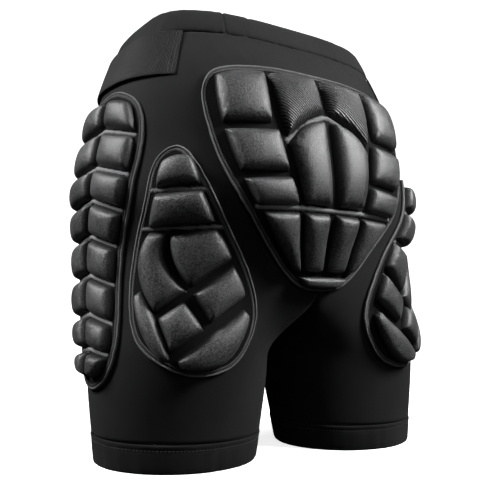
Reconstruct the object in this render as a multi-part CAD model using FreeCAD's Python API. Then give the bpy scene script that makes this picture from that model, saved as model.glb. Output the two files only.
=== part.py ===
"""Padded impact shorts: a knit shell with a tailbone pad, two thigh pads, two hip pads and two waist straps.

The wearer faces -Y, so the seat is at +Y and the wearer's left is +X. The shorts stand on their hems
at z = 0. The knit's outer surface is one smooth form. A place on it is (g, v): g is the girth angle in
degrees, 0 at the centre back, 90 at the side and 180 at the centre front, positive on the left, and v is
the height in mm.
Each piece lies at a stated distance above or below that form, and the right side mirrors the left.
"""
import FreeCAD, Part
import math
import os

Vector = FreeCAD.Vector
os.makedirs("parts", exist_ok=True)

# ---- Driving dimensions of the form, mm and degrees ----
WAIST_V = 420.0              # top of the waistband
HEM_V = 25.0                 # depth of each hem band
CROTCH_V = 148.0             # crotch seam, midway between front and back
FORK_V = 160.0               # where the legs part at the front and the back
CLOSING = 45.0               # height over which the inner thighs come together under the crotch
LEG_TURN = 135.0             # share of a leg's outline that the outer panel wraps, each way from the side
LEG_BLEND = (95.0, 215.0)    # heights between which the leg tube becomes the torso
TILT = 0.11                  # the waist sinks towards the front by this much per mm of depth
TILT_BAND = (150.0, 420.0)
ORIGIN_Y = -1.7              # moves the form so that the finished shorts are centred over the origin

# torso sections: height, half width, depth behind, depth in front, squareness
TORSO = ((115, 172, 112, 88, 2.0),
         (155, 178, 121, 92, 2.1),
         (200, 181, 128, 96, 2.2),
         (240, 183, 137, 100, 2.3),
         (290, 175, 128, 107, 2.3),
         (330, 168, 114, 112, 2.3),
         (420, 127, 58, 144, 2.9))
# leg sections: height, centre x, centre y, half width, half depth
LEG = ((0, 104, 50, 79, 62),
       (85, 100, 39, 88, 77),
       (150, 97, 24, 88.5, 99),
       (190, 97, 24, 88.5, 99))

# ---- Layers, mm above the form ----
KNIT = 1.6                   # knit shell, inwards from the form
GAP = 0.3                    # room between layers
BACKING = (GAP, 2.8)         # pad backing sheet
BINDING = (GAP, 3.0)         # edge binding
BINDING_WIDTH = 5.0
BLOCK_BASE = 3.1             # underside of the pad blocks
BLOCK_TAPER = 3.4            # how far the shoulder stands in from the foot
COVER = 0.9                  # cover fabric over the foam
FOAM_ROOM = 0.2              # between the foam and its cover
MOST_SHARE = {"outer": 0.28, "inner": 0.32, "foam": 0.36}   # greatest inset, as a share of a block's width
CENTRE_GAP = 0.15            # half of the room between the left and right panels
HEM_OUT = 0.5                # the hem stands proud of the knit
HEM_WALL = 2.6

# ---- Waist ----
CASING_DEPTH = 25.0
CASING_OUT = 1.2
CASING_WALL = 1.2
ELASTIC = (-2.9, -0.3)
ELASTIC_MARGIN = 3.0
STRAP_V = (346.0, 394.0)
STRAP_END_V = (348.0, 390.0)
STRAP_G = (53.0, 171.0)
STRAP_THICK = 2.0
STRAP_SEWN = 0.6             # height of the strap at its sewn end
STRAP_SIDE = 3.8             # height where it spans the hip
STRAP_FRONT = 3.8            # height over the hook tab
STRAP_RISE = 30.0            # girth angle over which the strap leaves the knit
STRAP_FALL = (105.0, 35.0)   # start and length of its way down to the hook tab, in girth angle
HOOK_G = (147.0, 169.5)
HOOK = (2.1, 3.5)
LOOP_G = (138.0, 172.0)
LOOP = (GAP, 1.6)
TAB_MARGIN_V = 3.0


# ---- The form ----

def smooth(t):
    """Ease from 0 to 1."""
    t = min(max(t, 0.0), 1.0)
    return t * t * (3 - 2 * t)


def through(table, column, x):
    """Monotone cubic through one column of a table of sections."""
    xs = [row[0] for row in table]
    ys = [row[column] for row in table]
    x = min(max(x, xs[0]), xs[-1])
    steps = [b - a for a, b in zip(xs, xs[1:])]
    rises = [(b - a) / h for a, b, h in zip(ys, ys[1:], steps)]
    slopes = [rises[0]] + [0.0] * (len(xs) - 2) + [rises[-1]]
    for k in range(1, len(xs) - 1):
        if rises[k - 1] * rises[k] > 0:
            w1 = 2 * steps[k] + steps[k - 1]
            w2 = steps[k] + 2 * steps[k - 1]
            slopes[k] = (w1 + w2) / (w1 / rises[k - 1] + w2 / rises[k])
    i = max(k for k in range(len(steps)) if xs[k] <= x)
    h = steps[i]
    t = (x - xs[i]) / h
    return ((1 + 2 * t) * (1 - t) ** 2 * ys[i] + t * (1 - t) ** 2 * h * slopes[i]
            + t * t * (3 - 2 * t) * ys[i + 1] + t * t * (t - 1) * h * slopes[i + 1])


def leg_section(v):
    return [through(LEG, column, v) for column in (1, 2, 3, 4)]


def form(g, v):
    """The point of the knit's outer surface at girth angle g and height v."""
    side = -1.0 if g < 0 else 1.0
    phi = math.radians(90 - abs(g))
    cx, cy, rx, ry = leg_section(v)
    psi = phi * LEG_TURN / 90
    leg = (cx + rx * math.cos(psi), cy + ry * math.sin(psi))
    half, back, front, square = [through(TORSO, column, v) for column in (1, 2, 3, 4)]
    power = 2 / square
    depth = back if phi >= 0 else -front
    torso = (half * max(math.cos(phi), 0.0) ** power, depth * abs(math.sin(phi)) ** power)
    low, high = LEG_BLEND
    w = smooth((v - low) / (high - low))
    at_fork = smooth((v - low) / (FORK_V - low))
    w += (at_fork - w) * abs(math.sin(phi)) ** 8
    x = (1 - w) * leg[0] + w * torso[0]
    y = (1 - w) * leg[1] + w * torso[1]
    z = v + TILT * y * smooth((v - TILT_BAND[0]) / (TILT_BAND[1] - TILT_BAND[0]))
    return Vector(side * x, y + ORIGIN_Y, z)


def crotch_top(m):
    """Height of the crotch seam, from the back fork at m = 0 to the front fork at m = 1."""
    return CROTCH_V + (FORK_V - CROTCH_V) * abs(2 * m - 1) ** 3


def inner_form(m, t):
    """The left inner thigh: m runs back to front, t from the hem at 0 to the crotch seam at 1."""
    top = crotch_top(m)
    v = t * top
    cx, cy, rx, ry = leg_section(v)
    turn = math.radians(LEG_TURN)
    psi = turn + (2 * math.pi - 2 * turn) * m
    arc = Vector(cx + rx * math.cos(psi), cy + ORIGIN_Y + ry * math.sin(psi), v)
    edge_back = Vector(cx + rx * math.cos(turn), cy + ORIGIN_Y + ry * math.sin(turn), v)
    edge_front = Vector(edge_back.x, 2 * (cy + ORIGIN_Y) - edge_back.y, v)
    point = arc + (form(0, v) - edge_back) * (1 - m) + (form(180, v) - edge_front) * m
    closing = smooth((v - (top - CLOSING)) / CLOSING)
    edge_x = form(0, v).x * (1 - m) ** 8 + form(180, v).x * m ** 8
    return Vector(max(point.x * (1 - closing), 0.0) + closing * edge_x, point.y, point.z)


def unit(a, b):
    n = a.cross(b)
    return n.normalize() if n.Length > 1e-9 else Vector(1, 0, 0)


def normal(g, v):
    """Outward normal of the form."""
    step = 0.5
    low = max(v - step, 0.0)
    high = min(v + step, WAIST_V)
    across = form(g + step, v) - form(g - step, v)
    if abs(g) + step > 180:
        across = Vector(-1, 0, 0)
    return unit(form(g, high) - form(g, low), across)


def at(g, v, h):
    """The point h above the form."""
    return form(g, v) + normal(g, v) * h


# ---- Solids from curved patches ----

def surface(rows):
    """A smooth surface through a grid of points."""
    made = Part.BSplineSurface()
    made.interpolate(rows)
    return made


def borders(made):
    """The four edges of a surface, in order round it."""
    u0, u1, v0, v1 = made.bounds()
    edges = (made.vIso(v0), made.uIso(u1), made.vIso(v1), made.uIso(u0))
    return [edge.toShape() for edge in edges]


def curve(points, closed=False):
    made = Part.BSplineCurve()
    made.interpolate(points, PeriodicFlag=closed)
    return made.toShape()


def walls(lower, upper):
    return [Part.makeRuledSurface(a, b) for a, b in zip(lower, upper)]


def solid(faces):
    """One closed solid from the faces round it."""
    shell = Part.makeShell([f for face in faces for f in face.Faces])
    shell.sewShape()
    made = Part.Solid(shell.Shells[0])
    if made.Volume < 0:
        made.reverse()
    if not made.isValid():
        made.fix(0.01, 0.01, 0.01)
    return made


def stretch(made, k, parts):
    """One of several equal stretches of a surface along its first direction."""
    u0, u1, v0, v1 = made.bounds()
    step = (u1 - u0) / parts
    cut = made.copy()
    cut.segment(u0 + k * step, u0 + (k + 1) * step, v0, v1)
    return cut


def slab(low_rows, high_rows, parts=1):
    """A solid between two grids of points. One that wraps far round has its faces in several parts."""
    low = surface(low_rows)
    high = surface(high_rows)
    faces = []
    for k in range(parts):
        a, b = stretch(low, k, parts), stretch(high, k, parts)
        sides = walls(borders(a), borders(b))
        faces += [a.toShape(), b.toShape(), sides[0], sides[2]]
        faces += [sides[3]] if k == 0 else []
        faces += [sides[1]] if k == parts - 1 else []
    return solid(faces)


def rim(rows):
    """The four border curves of a grid, in the order that borders() gives."""
    columns = list(zip(*rows))
    return [curve(list(columns[0])), curve(list(rows[-1])), curve(list(columns[-1])), curve(list(rows[0]))]


def ring(loops):
    """A closed band whose section has one corner on each of the closed loops."""
    edges = [curve(loop, closed=True) for loop in loops]
    return solid([Part.makeRuledSurface(a, b) for a, b in zip(edges, edges[1:] + edges[:1])])


def grid(place, n, m):
    """Rows of points: place(s, t) for s and t from 0 to 1."""
    return [[place(i / n, j / m) for j in range(m + 1)] for i in range(n + 1)]


def mirrored(shape):
    return shape.mirror(Vector(0, 0, 0), Vector(1, 0, 0))


made_nodes = {}


def keep(name, pieces):
    """Write one node. Several separate pieces of one kind share it as a group."""
    pieces = pieces if isinstance(pieces, list) else [pieces]
    shape = pieces[0] if len(pieces) == 1 else Part.makeCompound(pieces)
    shape.exportStep("parts/" + name + ".step")
    made_nodes[name] = shape


def keep_pair(name, pieces):
    """Write the left piece and its mirror image."""
    pieces = pieces if isinstance(pieces, list) else [pieces]
    keep("left_" + name, pieces)
    keep("right_" + name, [mirrored(piece) for piece in pieces])


# ---- Knit shell ----

def knit_normal(g, v):
    """Normal for the shell's inner face: level across the centre seams, mitred along the fork edges."""
    edge = g < 0.01 or g > 179.99
    if not edge:
        return normal(g, v)
    g_in = 1.0 if g < 90 else 179.0
    outer = normal(g_in, v)
    if v >= FORK_V:
        return Vector(0, outer.y, outer.z).normalize()
    m = 0.0 if g < 90 else 1.0
    return (outer + inner_normal(abs(m - 0.03), v / crotch_top(m))).normalize()


def inner_normal(m, t):
    """Outward normal of the inner thigh, towards the other leg."""
    dm = 0.02
    dt = 0.01
    across = inner_form(min(m + dm, 1), t) - inner_form(max(m - dm, 0), t)
    up = inner_form(m, min(t + dt, 1)) - inner_form(m, max(t - dt, 0))
    return unit(across, up)


def clear_of_centre(point):
    return Vector(max(point.x, CENTRE_GAP), point.y, point.z)


def leg_panel():
    """One cut of knit from the centre back round the side to the centre front."""
    low = HEM_V + GAP
    high = WAIST_V - CASING_DEPTH - GAP

    def place(depth):
        def point(s, t):
            g = 180 * s
            v = low + (high - low) * t
            return clear_of_centre(form(g, v) - knit_normal(g, v) * depth)
        return point
    return slab(grid(place(KNIT), 36, 60), grid(place(0.0), 36, 60), parts=3)


def inner_thigh():
    """The gusset panel down the inside of the leg, from the crotch seam to the hem."""
    def place(depth):
        def point(m, s):
            low = (HEM_V + GAP) / crotch_top(m)
            t = low + (1 - low) * s
            if m < 0.01 or m > 0.99:
                n = knit_normal(180 * m, min(t * crotch_top(m), FORK_V - 0.01))
            elif s > 0.99:
                n = Vector(-1, 0, 0)
            else:
                n = inner_normal(m, t)
            return clear_of_centre(inner_form(m, t) - n * depth)
        return point
    return slab(grid(place(KNIT), 14, 24), grid(place(0.0), 14, 24))


def leg_loop(v, offset):
    """Closed outline of the left leg at height v, moved outwards."""
    outer = [form(4.0 * k, v) for k in range(46)]
    steps = 13
    inner = [inner_form(1 - k / steps, v / crotch_top(1 - k / steps)) for k in range(1, steps)]
    points = outer + inner
    count = len(points)
    moved = []
    for k, point in enumerate(points):
        along = points[(k + 1) % count] - points[k - 1]
        out = Vector(along.y, -along.x, 0).normalize()
        centre = Vector(LEG[0][1], LEG[0][2] + ORIGIN_Y, 0)
        if out.dot(Vector(point.x, point.y, 0) - centre) < 0:
            out = out * -1
        moved.append(Vector(point.x + out.x * offset, point.y + out.y * offset, v))
    return moved


def hem():
    """Turned and stitched hem band, flat underneath."""
    sides = (HEM_OUT, HEM_OUT - HEM_WALL)
    foot_out, foot_in = [curve(leg_loop(0.0, d), closed=True) for d in sides]
    head_out, head_in = [curve(leg_loop(HEM_V, d), closed=True) for d in sides]
    foot = Part.Face([Part.Wire(foot_out), Part.Wire(foot_in)])
    head = Part.Face([Part.Wire(head_out), Part.Wire(head_in)])
    outside = Part.makeRuledSurface(foot_out, head_out)
    inside = Part.makeRuledSurface(foot_in, head_in)
    return solid([foot, head, outside, inside])


# ---- Waist ----

def waist_loop(v, offset):
    """Closed outline of the waist at height v, moved outwards."""
    return [at(g, v, offset) for g in range(-179, 180, 5)]


def waist_casing():
    """Folded knit casing: an outer wall, the fold on top and an inner wall."""
    low = WAIST_V - CASING_DEPTH
    inner_out = ELASTIC[0] - GAP
    section = ((CASING_OUT, low), (CASING_OUT, WAIST_V), (inner_out - CASING_WALL, WAIST_V),
               (inner_out - CASING_WALL, low), (inner_out, low), (inner_out, WAIST_V - CASING_WALL),
               (CASING_OUT - CASING_WALL, WAIST_V - CASING_WALL), (CASING_OUT - CASING_WALL, low))
    return ring([waist_loop(v, h) for h, v in section])


def waist_elastic():
    low = WAIST_V - CASING_DEPTH + ELASTIC_MARGIN
    high = WAIST_V - ELASTIC_MARGIN
    section = ((ELASTIC[1], low), (ELASTIC[1], high), (ELASTIC[0], high), (ELASTIC[0], low))
    return ring([waist_loop(v, h) for h, v in section])


def strap_height(g):
    """The strap lies on the knit at its sewn end, spans the hip and comes down onto the hook tab."""
    rise = smooth((g - STRAP_G[0]) / STRAP_RISE)
    fall = smooth((g - STRAP_FALL[0]) / STRAP_FALL[1])
    return STRAP_SEWN + (STRAP_SIDE - STRAP_SEWN) * rise + (STRAP_FRONT - STRAP_SIDE) * fall


def strap():
    def place(extra):
        def point(s, t):
            g = STRAP_G[0] + (STRAP_G[1] - STRAP_G[0]) * s
            low = STRAP_V[0] + (STRAP_END_V[0] - STRAP_V[0]) * s
            high = STRAP_V[1] + (STRAP_END_V[1] - STRAP_V[1]) * s
            return at(g, low + (high - low) * t, strap_height(g) + extra)
        return point
    return slab(grid(place(0.0), 26, 6), grid(place(STRAP_THICK), 26, 6))


def tab(g_range, layer):
    """A flat patch under the strap's free end."""
    def place(h):
        def point(s, t):
            g = g_range[0] + (g_range[1] - g_range[0]) * s
            low = STRAP_END_V[0] + TAB_MARGIN_V
            high = STRAP_END_V[1] - TAB_MARGIN_V
            return at(g, low + (high - low) * t, h)
        return point
    return slab(grid(place(layer[0]), 8, 5), grid(place(layer[1]), 8, 5))


# ---- Pads ----

def flat(point, scale):
    return Vector(point[0] * scale, point[1], 0)


def closed_curve(points, scale, count):
    """Smooth closed outline through the points, in flat mm, evenly divided."""
    made = Part.BSplineCurve()
    made.interpolate([flat(p, scale) for p in points], PeriodicFlag=True)
    return made.discretize(Number=count + 1)[:count]


def inset(points, distance):
    """Move a closed flat outline inwards."""
    count = len(points)
    middle = Vector(0, 0, 0)
    for point in points:
        middle = middle + point * (1.0 / count)
    moved = []
    for k, point in enumerate(points):
        along = points[(k + 1) % count] - points[k - 1]
        side = Vector(-along.y, along.x, 0).normalize()
        if side.dot(middle - point) < 0:
            side = side * -1
        moved.append(point + side * distance)
    return moved


def lay(points, scale, h):
    return [at(p.x / scale, p.y, h) for p in points]


def binding(outline, scale):
    """The bound edge: a narrow raised band along the pad's outline."""
    outer = closed_curve(outline, scale, 64)
    inner = inset(outer, BINDING_WIDTH)
    return ring([lay(outer, scale, BINDING[0]), lay(outer, scale, BINDING[1]),
                 lay(inner, scale, BINDING[1]), lay(inner, scale, BINDING[0])])


def backing(outline, scale, corners):
    """The backing sheet inside the binding. corners are four shares of the outline's length."""
    count = 96
    edge = inset(closed_curve(outline, scale, count), BINDING_WIDTH + GAP)

    def chain(a, b, t):
        k = (a + ((b - a + 0.5) % 1.0 - 0.5) * t) * count
        i = int(math.floor(k))
        return edge[i % count] + (edge[(i + 1) % count] - edge[i % count]) * (k - i)

    c0, c1, c2, c3 = corners

    def place(h):
        def point(s, t):
            p = coons(lambda q: chain(c0, c1, q), lambda q: chain(c1, c2, q),
                      lambda q: chain(c2, c3, 1 - q), lambda q: chain(c3, c0, 1 - q), s, t)
            return at(p.x / scale, p.y, h)
        return point
    return slab(grid(place(BACKING[0]), 16, 16), grid(place(BACKING[1]), 16, 16))


def coons(bottom, right, top, left, s, t):
    """A flat patch filled in between four sides that run the same way round as s and t."""
    across = bottom(s) * (1 - t) + top(s) * t
    up = left(t) * (1 - s) + right(t) * s
    corner = (bottom(0) * ((1 - s) * (1 - t)) + bottom(1) * (s * (1 - t))
              + top(0) * ((1 - s) * t) + top(1) * (s * t))
    return across + up - corner


class Block:
    """One moulded block. Its four corners are (g, v), anticlockwise with g to the right from the lowest
    g and v, and each side bows outwards by its bulge in mm."""

    def __init__(self, corners, bulges, scale, heights):
        self.scale = scale
        self.shoulder, self.crown = heights
        self.corners = [flat(c, scale) for c in corners]
        self.bulges = bulges
        self.middle = sum(self.corners[1:], self.corners[0]) * 0.25

    def side(self, a, b, bulge, t):
        start, end = self.corners[a], self.corners[b]
        along = end - start
        out = Vector(along.y, -along.x, 0).normalize()
        if out.dot((start + end) * 0.5 - self.middle) < 0:
            out = out * -1
        return start + along * t + out * (bulge * 4 * t * (1 - t))

    def flat_point(self, s, t):
        b = self.bulges
        return coons(lambda q: self.side(0, 1, b[0], q), lambda q: self.side(1, 2, b[1], q),
                     lambda q: self.side(3, 2, b[2], q), lambda q: self.side(0, 3, b[3], q), s, t)

    def rows(self, step_in, edge_height, crown, most):
        """Grid of points step_in mm inside the outline, rising from edge_height to crown."""
        def share(start, end):
            return min(step_in / max((end - start).Length, 0.1), most)

        def point(s, t):
            ds = share(self.flat_point(0, t), self.flat_point(1, t))
            dt = share(self.flat_point(s, 0), self.flat_point(s, 1))
            p = self.flat_point(ds + (1 - 2 * ds) * s, dt + (1 - 2 * dt) * t)
            swell = (16 * s * (1 - s) * t * (1 - t)) ** 0.5
            return at(p.x / self.scale, p.y, edge_height + (crown - edge_height) * swell)
        return grid(point, 8, 8)

    def foam(self):
        inside = COVER + FOAM_ROOM
        most = MOST_SHARE["foam"]
        low = self.rows(inside, BLOCK_BASE, BLOCK_BASE, most)
        high = self.rows(inside + BLOCK_TAPER, self.shoulder - inside, self.crown - inside, most)
        return slab(low, high)

    def cover(self):
        """The fabric over the block: closed on top and round the sides, open underneath."""
        outer, inner = MOST_SHARE["outer"], MOST_SHARE["inner"]
        outer_top = surface(self.rows(BLOCK_TAPER, self.shoulder, self.crown, outer))
        inner_top = surface(self.rows(COVER + BLOCK_TAPER, self.shoulder - COVER, self.crown - COVER, inner))
        outer_foot = rim(self.rows(0.0, BLOCK_BASE, BLOCK_BASE, outer))
        inner_foot = rim(self.rows(COVER, BLOCK_BASE, BLOCK_BASE, inner))
        return solid([outer_top.toShape(), inner_top.toShape()] + walls(outer_foot, borders(outer_top))
                     + walls(inner_foot, borders(inner_top)) + walls(outer_foot, inner_foot))


def both_halves(blocks):
    """Blocks on the left of the centre back, and their mirror images."""
    shapes = list(blocks)
    return shapes + [mirrored(shape) for shape in shapes]


# Tailbone pad
TAILBONE_SCALE = 3.3         # mm per degree of girth
TAILBONE_HEIGHTS = (9.0, 13.6)   # shoulder and crown of its blocks, above the form
TAILBONE_HALF = ((12, 359.3), (24, 357.3), (33.5, 353.5), (39.5, 345), (41.6, 331), (40.6, 306),
                 (36, 272), (28, 237), (20, 205), (12.5, 177), (7.5, 165))
TAILBONE_TOP = (0, 359.5)
TAILBONE_TIP = (0, 160.5)
TAILBONE_GROUPS = {
    "top": ((((0.5, 318), (13.2, 291), (16.4, 351), (0.5, 352.5)), (-3, 2.5, 0.5, 0)),
            (((17.7, 302), (34.6, 299.5), (36.8, 344), (18.0, 351)), (0, 2, 2, 0))),
    "side": ((((12.9, 261), (28.2, 258), (34.0, 294), (16.0, 297.5)), (0, 1, 0, 0)),
             (((9.9, 234.5), (22.8, 231.5), (27.2, 253), (12.5, 257.5)), (0, 1, 0, 0))),
    "centre": ((((0.5, 235.5), (8.8, 235.5), (12.7, 286), (0.5, 311.5)), (0, 1, 6, 0)),),
    "fan": ((((0.4, 177.5), (6.6, 177.5), (8.4, 229.5), (0.5, 230)), (0, 1, 0, 0)),
            (((7.7, 177.5), (9.9, 178.5), (21.6, 228.5), (9.6, 229.5)), (0, 1, 0, 0))),
}
TAILBONE_LOWEST = (((-6.0, 165.5), (6.0, 165.5), (8.6, 174.0), (-8.6, 174.0)), (2.0, 0, 0, 0))
LOWEST_HEIGHTS = (9.0, 11.5)

# Thigh pad
THIGH_SCALE = 2.5
THIGH_HEIGHTS = (9.0, 13.6)
THIGH_OUTLINE = ((50, 279), (56.5, 270), (59.4, 247), (61, 222), (64.6, 182), (67.7, 142), (65.5, 112),
                 (57, 95), (45, 84.5), (33, 86), (23.5, 99), (19.8, 122), (21, 155), (26, 190),
                 (35.5, 236), (42.5, 265))
THIGH_GROUPS = {
    "upper": ((((40.7, 246.0), (56.0, 241.8), (54.6, 263.5), (44.2, 268.5)), (0, 1, 4, 1.5)),
              (((34.8, 216), (57.8, 209.5), (56.4, 238), (40.0, 242)), (0, 0.5, 0, 0))),
    "middle": ((((45.4, 155), (57.8, 134.5), (57.4, 206), (50.6, 207)), (0, 12, 0, -9)),
               (((29.3, 186), (44.2, 158.5), (49.8, 205), (34.8, 212)), (0, 6, 0, 1.5)),
               (((24.8, 153.5), (38.4, 128), (43.8, 153), (29.2, 181)), (0, 0, 0, 1.5)),
               (((40.3, 122.5), (52.5, 102), (57.2, 131), (47.2, 147)), (0, 0, 0, 0))),
    "lower": ((((51.9, 97.8), (54.4, 95.0), (64.4, 151), (61.8, 155)), (0, 10, 0, 0)),
              (((23.6, 138), (48.6, 91.0), (50.0, 96.8), (25.8, 142.5)), (22, 0, 0, 0))),
}

# Hip pad
HIP_SCALE = 2.6
HIP_HEIGHTS = (8.5, 13.0)
HIP_REAR = ((76, 332.5), (67.5, 319), (64.2, 296), (64.8, 250), (68, 197), (71.5, 143), (74.5, 97),
            (79.5, 76))
HIP_TOP_V = 337.0
HIP_BOTTOM_V = 66.5
HIP_ROWS = ((290.5, 9), (255, 9), (224.5, 10), (193, 9), (158.5, 7.5), (124.5, 6.5),
            (98, 3))         # height at the edges, rise at the middle
HIP_BLOCKS_TOP = (320.0, 7.0)
HIP_BLOCKS_BOTTOM = (79.5, -3.0)
HIP_BORDER = 8.5             # from the outline to the blocks
CHANNEL = 2.0                # half the channel between blocks


def hip_centre(v):
    """The channel between the two columns leans forwards below the hip."""
    return 85 + 4 * smooth((235 - v) / 135)


def hip_outline():
    rear = list(HIP_REAR)
    front = [(2 * hip_centre(v) - g, v) for g, v in reversed(rear)]
    return [(hip_centre(HIP_TOP_V), HIP_TOP_V)] + rear + [(hip_centre(HIP_BOTTOM_V), HIP_BOTTOM_V)] + front


def hip_rear_edge(v):
    """Girth angle of the blocks' rear edge."""
    table = tuple((height, g) for g, height in reversed(HIP_REAR))
    return through(table, 1, v) + HIP_BORDER / HIP_SCALE


def hip_blocks(side):
    """Eight blocks of one column: side is -1 for the rear column and 1 for the front."""
    levels = (HIP_BLOCKS_TOP,) + HIP_ROWS + (HIP_BLOCKS_BOTTOM,)
    blocks = []
    for k in range(8):
        top_edge, top_rise = levels[k]
        low_edge, low_rise = levels[k + 1]
        top_edge -= CHANNEL if k > 0 else 0
        low_edge += CHANNEL if k < 7 else 0

        def corner(edge, rise, at_centre):
            v = edge + rise if at_centre else edge
            if at_centre:
                return (hip_centre(v) + side * CHANNEL / HIP_SCALE, v)
            g = hip_rear_edge(v)
            return (g if side < 0 else 2 * hip_centre(v) - g, v)
        first, second = (False, True) if side < 0 else (True, False)
        corners = (corner(low_edge, low_rise, first), corner(low_edge, low_rise, second),
                   corner(top_edge, top_rise, second), corner(top_edge, top_rise, first))
        bulges = [0, 1.5, 0, 0] if side > 0 else [0, 0, 0, 1.5]
        bulges[2] = 2 if k == 0 else 0
        blocks.append(Block(corners, bulges, HIP_SCALE, HIP_HEIGHTS))
    return blocks


def tailbone_outline():
    mirror = [(-g, v) for g, v in reversed(TAILBONE_HALF)]
    return [TAILBONE_TOP] + list(TAILBONE_HALF) + [TAILBONE_TIP] + mirror


def build_tailbone():
    outline = tailbone_outline()
    keep("tailbone_backing", backing(outline, TAILBONE_SCALE, (0.61, 0.39, 0.13, 0.87)))
    keep("tailbone_binding", binding(outline, TAILBONE_SCALE))
    covers = []
    for name, specs in TAILBONE_GROUPS.items():
        blocks = [Block(corners, bulges, TAILBONE_SCALE, TAILBONE_HEIGHTS) for corners, bulges in specs]
        keep("tailbone_foam_" + name, both_halves(block.foam() for block in blocks))
        covers += both_halves(block.cover() for block in blocks)
    tip = Block(*TAILBONE_LOWEST, TAILBONE_SCALE, LOWEST_HEIGHTS)
    keep("tailbone_foam_tip", tip.foam())
    keep("tailbone_cover", covers + [tip.cover()])


def build_thigh():
    keep_pair("thigh_backing", backing(THIGH_OUTLINE, THIGH_SCALE, (0.58, 0.37, 0.05, 0.96)))
    keep_pair("thigh_binding", binding(THIGH_OUTLINE, THIGH_SCALE))
    covers = []
    for name, specs in THIGH_GROUPS.items():
        blocks = [Block(corners, bulges, THIGH_SCALE, THIGH_HEIGHTS) for corners, bulges in specs]
        keep_pair("thigh_foam_" + name, [block.foam() for block in blocks])
        covers += [block.cover() for block in blocks]
    keep_pair("thigh_cover", covers)


def build_hip():
    outline = hip_outline()
    keep_pair("hip_backing", backing(outline, HIP_SCALE, (0.45, 0.55, 0.94, 0.06)))
    keep_pair("hip_binding", binding(outline, HIP_SCALE))
    covers = []
    for name, side in (("rear", -1), ("front", 1)):
        blocks = hip_blocks(side)
        keep_pair("hip_foam_" + name, [block.foam() for block in blocks])
        covers += [block.cover() for block in blocks]
    keep_pair("hip_cover", covers)


keep_pair("leg_panel", leg_panel())
keep_pair("inner_thigh", inner_thigh())
keep_pair("hem", hem())
keep("waist_casing", waist_casing())
keep("waist_elastic", waist_elastic())
keep_pair("waist_strap", strap())
keep_pair("hook_tab", tab(HOOK_G, HOOK))
keep_pair("loop_patch", tab(LOOP_G, LOOP))
build_tailbone()
build_thigh()
build_hip()

low = [min(getattr(s.BoundBox, a) for s in made_nodes.values()) for a in ("XMin", "YMin", "ZMin")]
high = [max(getattr(s.BoundBox, a) for s in made_nodes.values()) for a in ("XMax", "YMax", "ZMax")]
for name, shape in made_nodes.items():
    solids = shape.Solids
    print(name, len(solids), "solids", round(sum(s.Volume for s in solids)), "mm3",
          "valid" if all(s.isValid() and s.isClosed() for s in solids) else "NOT VALID")
print("box", [round(a, 2) for a in low], [round(a, 2) for a in high])
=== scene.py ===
"""Looks of the padded impact shorts: knit shell, waistband, straps, hems and moulded pads around the frame.

The wearer faces -Y, the wearer's left is +X and the hems stand at z = 0. Shapes are worked out in
millimetres on the same form as the CAD: a place is (g, v), the girth angle in degrees from the centre
back and the height in mm.
"""
import math

import bpy
import numpy as np
from mathutils import Matrix, Vector


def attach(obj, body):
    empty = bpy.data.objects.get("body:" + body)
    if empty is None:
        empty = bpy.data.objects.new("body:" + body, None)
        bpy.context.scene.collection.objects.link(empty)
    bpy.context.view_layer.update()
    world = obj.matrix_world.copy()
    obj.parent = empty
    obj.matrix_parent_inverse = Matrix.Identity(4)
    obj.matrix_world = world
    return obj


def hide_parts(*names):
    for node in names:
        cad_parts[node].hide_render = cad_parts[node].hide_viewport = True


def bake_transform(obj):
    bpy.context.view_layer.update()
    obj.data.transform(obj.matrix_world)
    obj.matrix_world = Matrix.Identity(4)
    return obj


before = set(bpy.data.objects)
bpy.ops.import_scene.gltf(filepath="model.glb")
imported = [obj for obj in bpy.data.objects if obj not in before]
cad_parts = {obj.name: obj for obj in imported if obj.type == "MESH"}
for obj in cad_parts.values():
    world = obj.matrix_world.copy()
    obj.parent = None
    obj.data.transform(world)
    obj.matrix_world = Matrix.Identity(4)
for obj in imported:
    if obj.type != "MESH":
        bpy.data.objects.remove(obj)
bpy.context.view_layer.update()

MM = 0.001

# ---- The form, mm and degrees, as in the CAD model ----
WAIST_V = 420.0
HEM_V = 25.0
CROTCH_V = 148.0
FORK_V = 160.0
CLOSING = 45.0
LEG_TURN = 135.0
LEG_BLEND = (95.0, 215.0)
TILT = 0.11
TILT_BAND = (150.0, 420.0)
ORIGIN_Y = -1.7
TORSO = ((115, 172, 112, 88, 2.0),
         (155, 178, 121, 92, 2.1),
         (200, 181, 128, 96, 2.2),
         (240, 183, 137, 100, 2.3),
         (290, 175, 128, 107, 2.3),
         (330, 168, 114, 112, 2.3),
         (420, 127, 58, 144, 2.9))
LEG = ((0, 104, 50, 79, 62),
       (85, 100, 39, 88, 77),
       (150, 97, 24, 88.5, 99),
       (190, 97, 24, 88.5, 99))

KNIT = 1.6
BASE_TOP = 2.8               # top of the pads' base layer, above the form
BASE_THICK = 2.4
BLOCK_FOOT = 2.4             # where the block covers meet the base layer
BLOCK_SHOULDER = 9.0
BLOCK_CROWN = 13.4
EDGE_WIDTH = 5.0
STRAP_G = (53.0, 171.0)
STRAP_V = (346.0, 394.0)
STRAP_END_V = (348.0, 390.0)
STRAP_THICK = 2.0
STRAP_SEWN = 0.6
STRAP_SIDE = 3.8
STRAP_FRONT = 3.8
STRAP_RISE = 30.0            # girth angle over which the strap leaves the knit
STRAP_FALL = (105.0, 35.0)   # start and length of its way down to the hook tab, in girth angle
HOOK_G = (147.0, 169.5)
HOOK = (2.1, 3.7)
LOOP_G = (138.0, 172.0)
LOOP = (0.3, 1.7)
CASING_DEPTH = 25.0
FOLD_WALL = 0.9              # one layer of the folded knit in the waistband and the hems


def smooth(t):
    """Ease from 0 to 1."""
    t = np.clip(t, 0.0, 1.0)
    return t * t * (3 - 2 * t)


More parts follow.
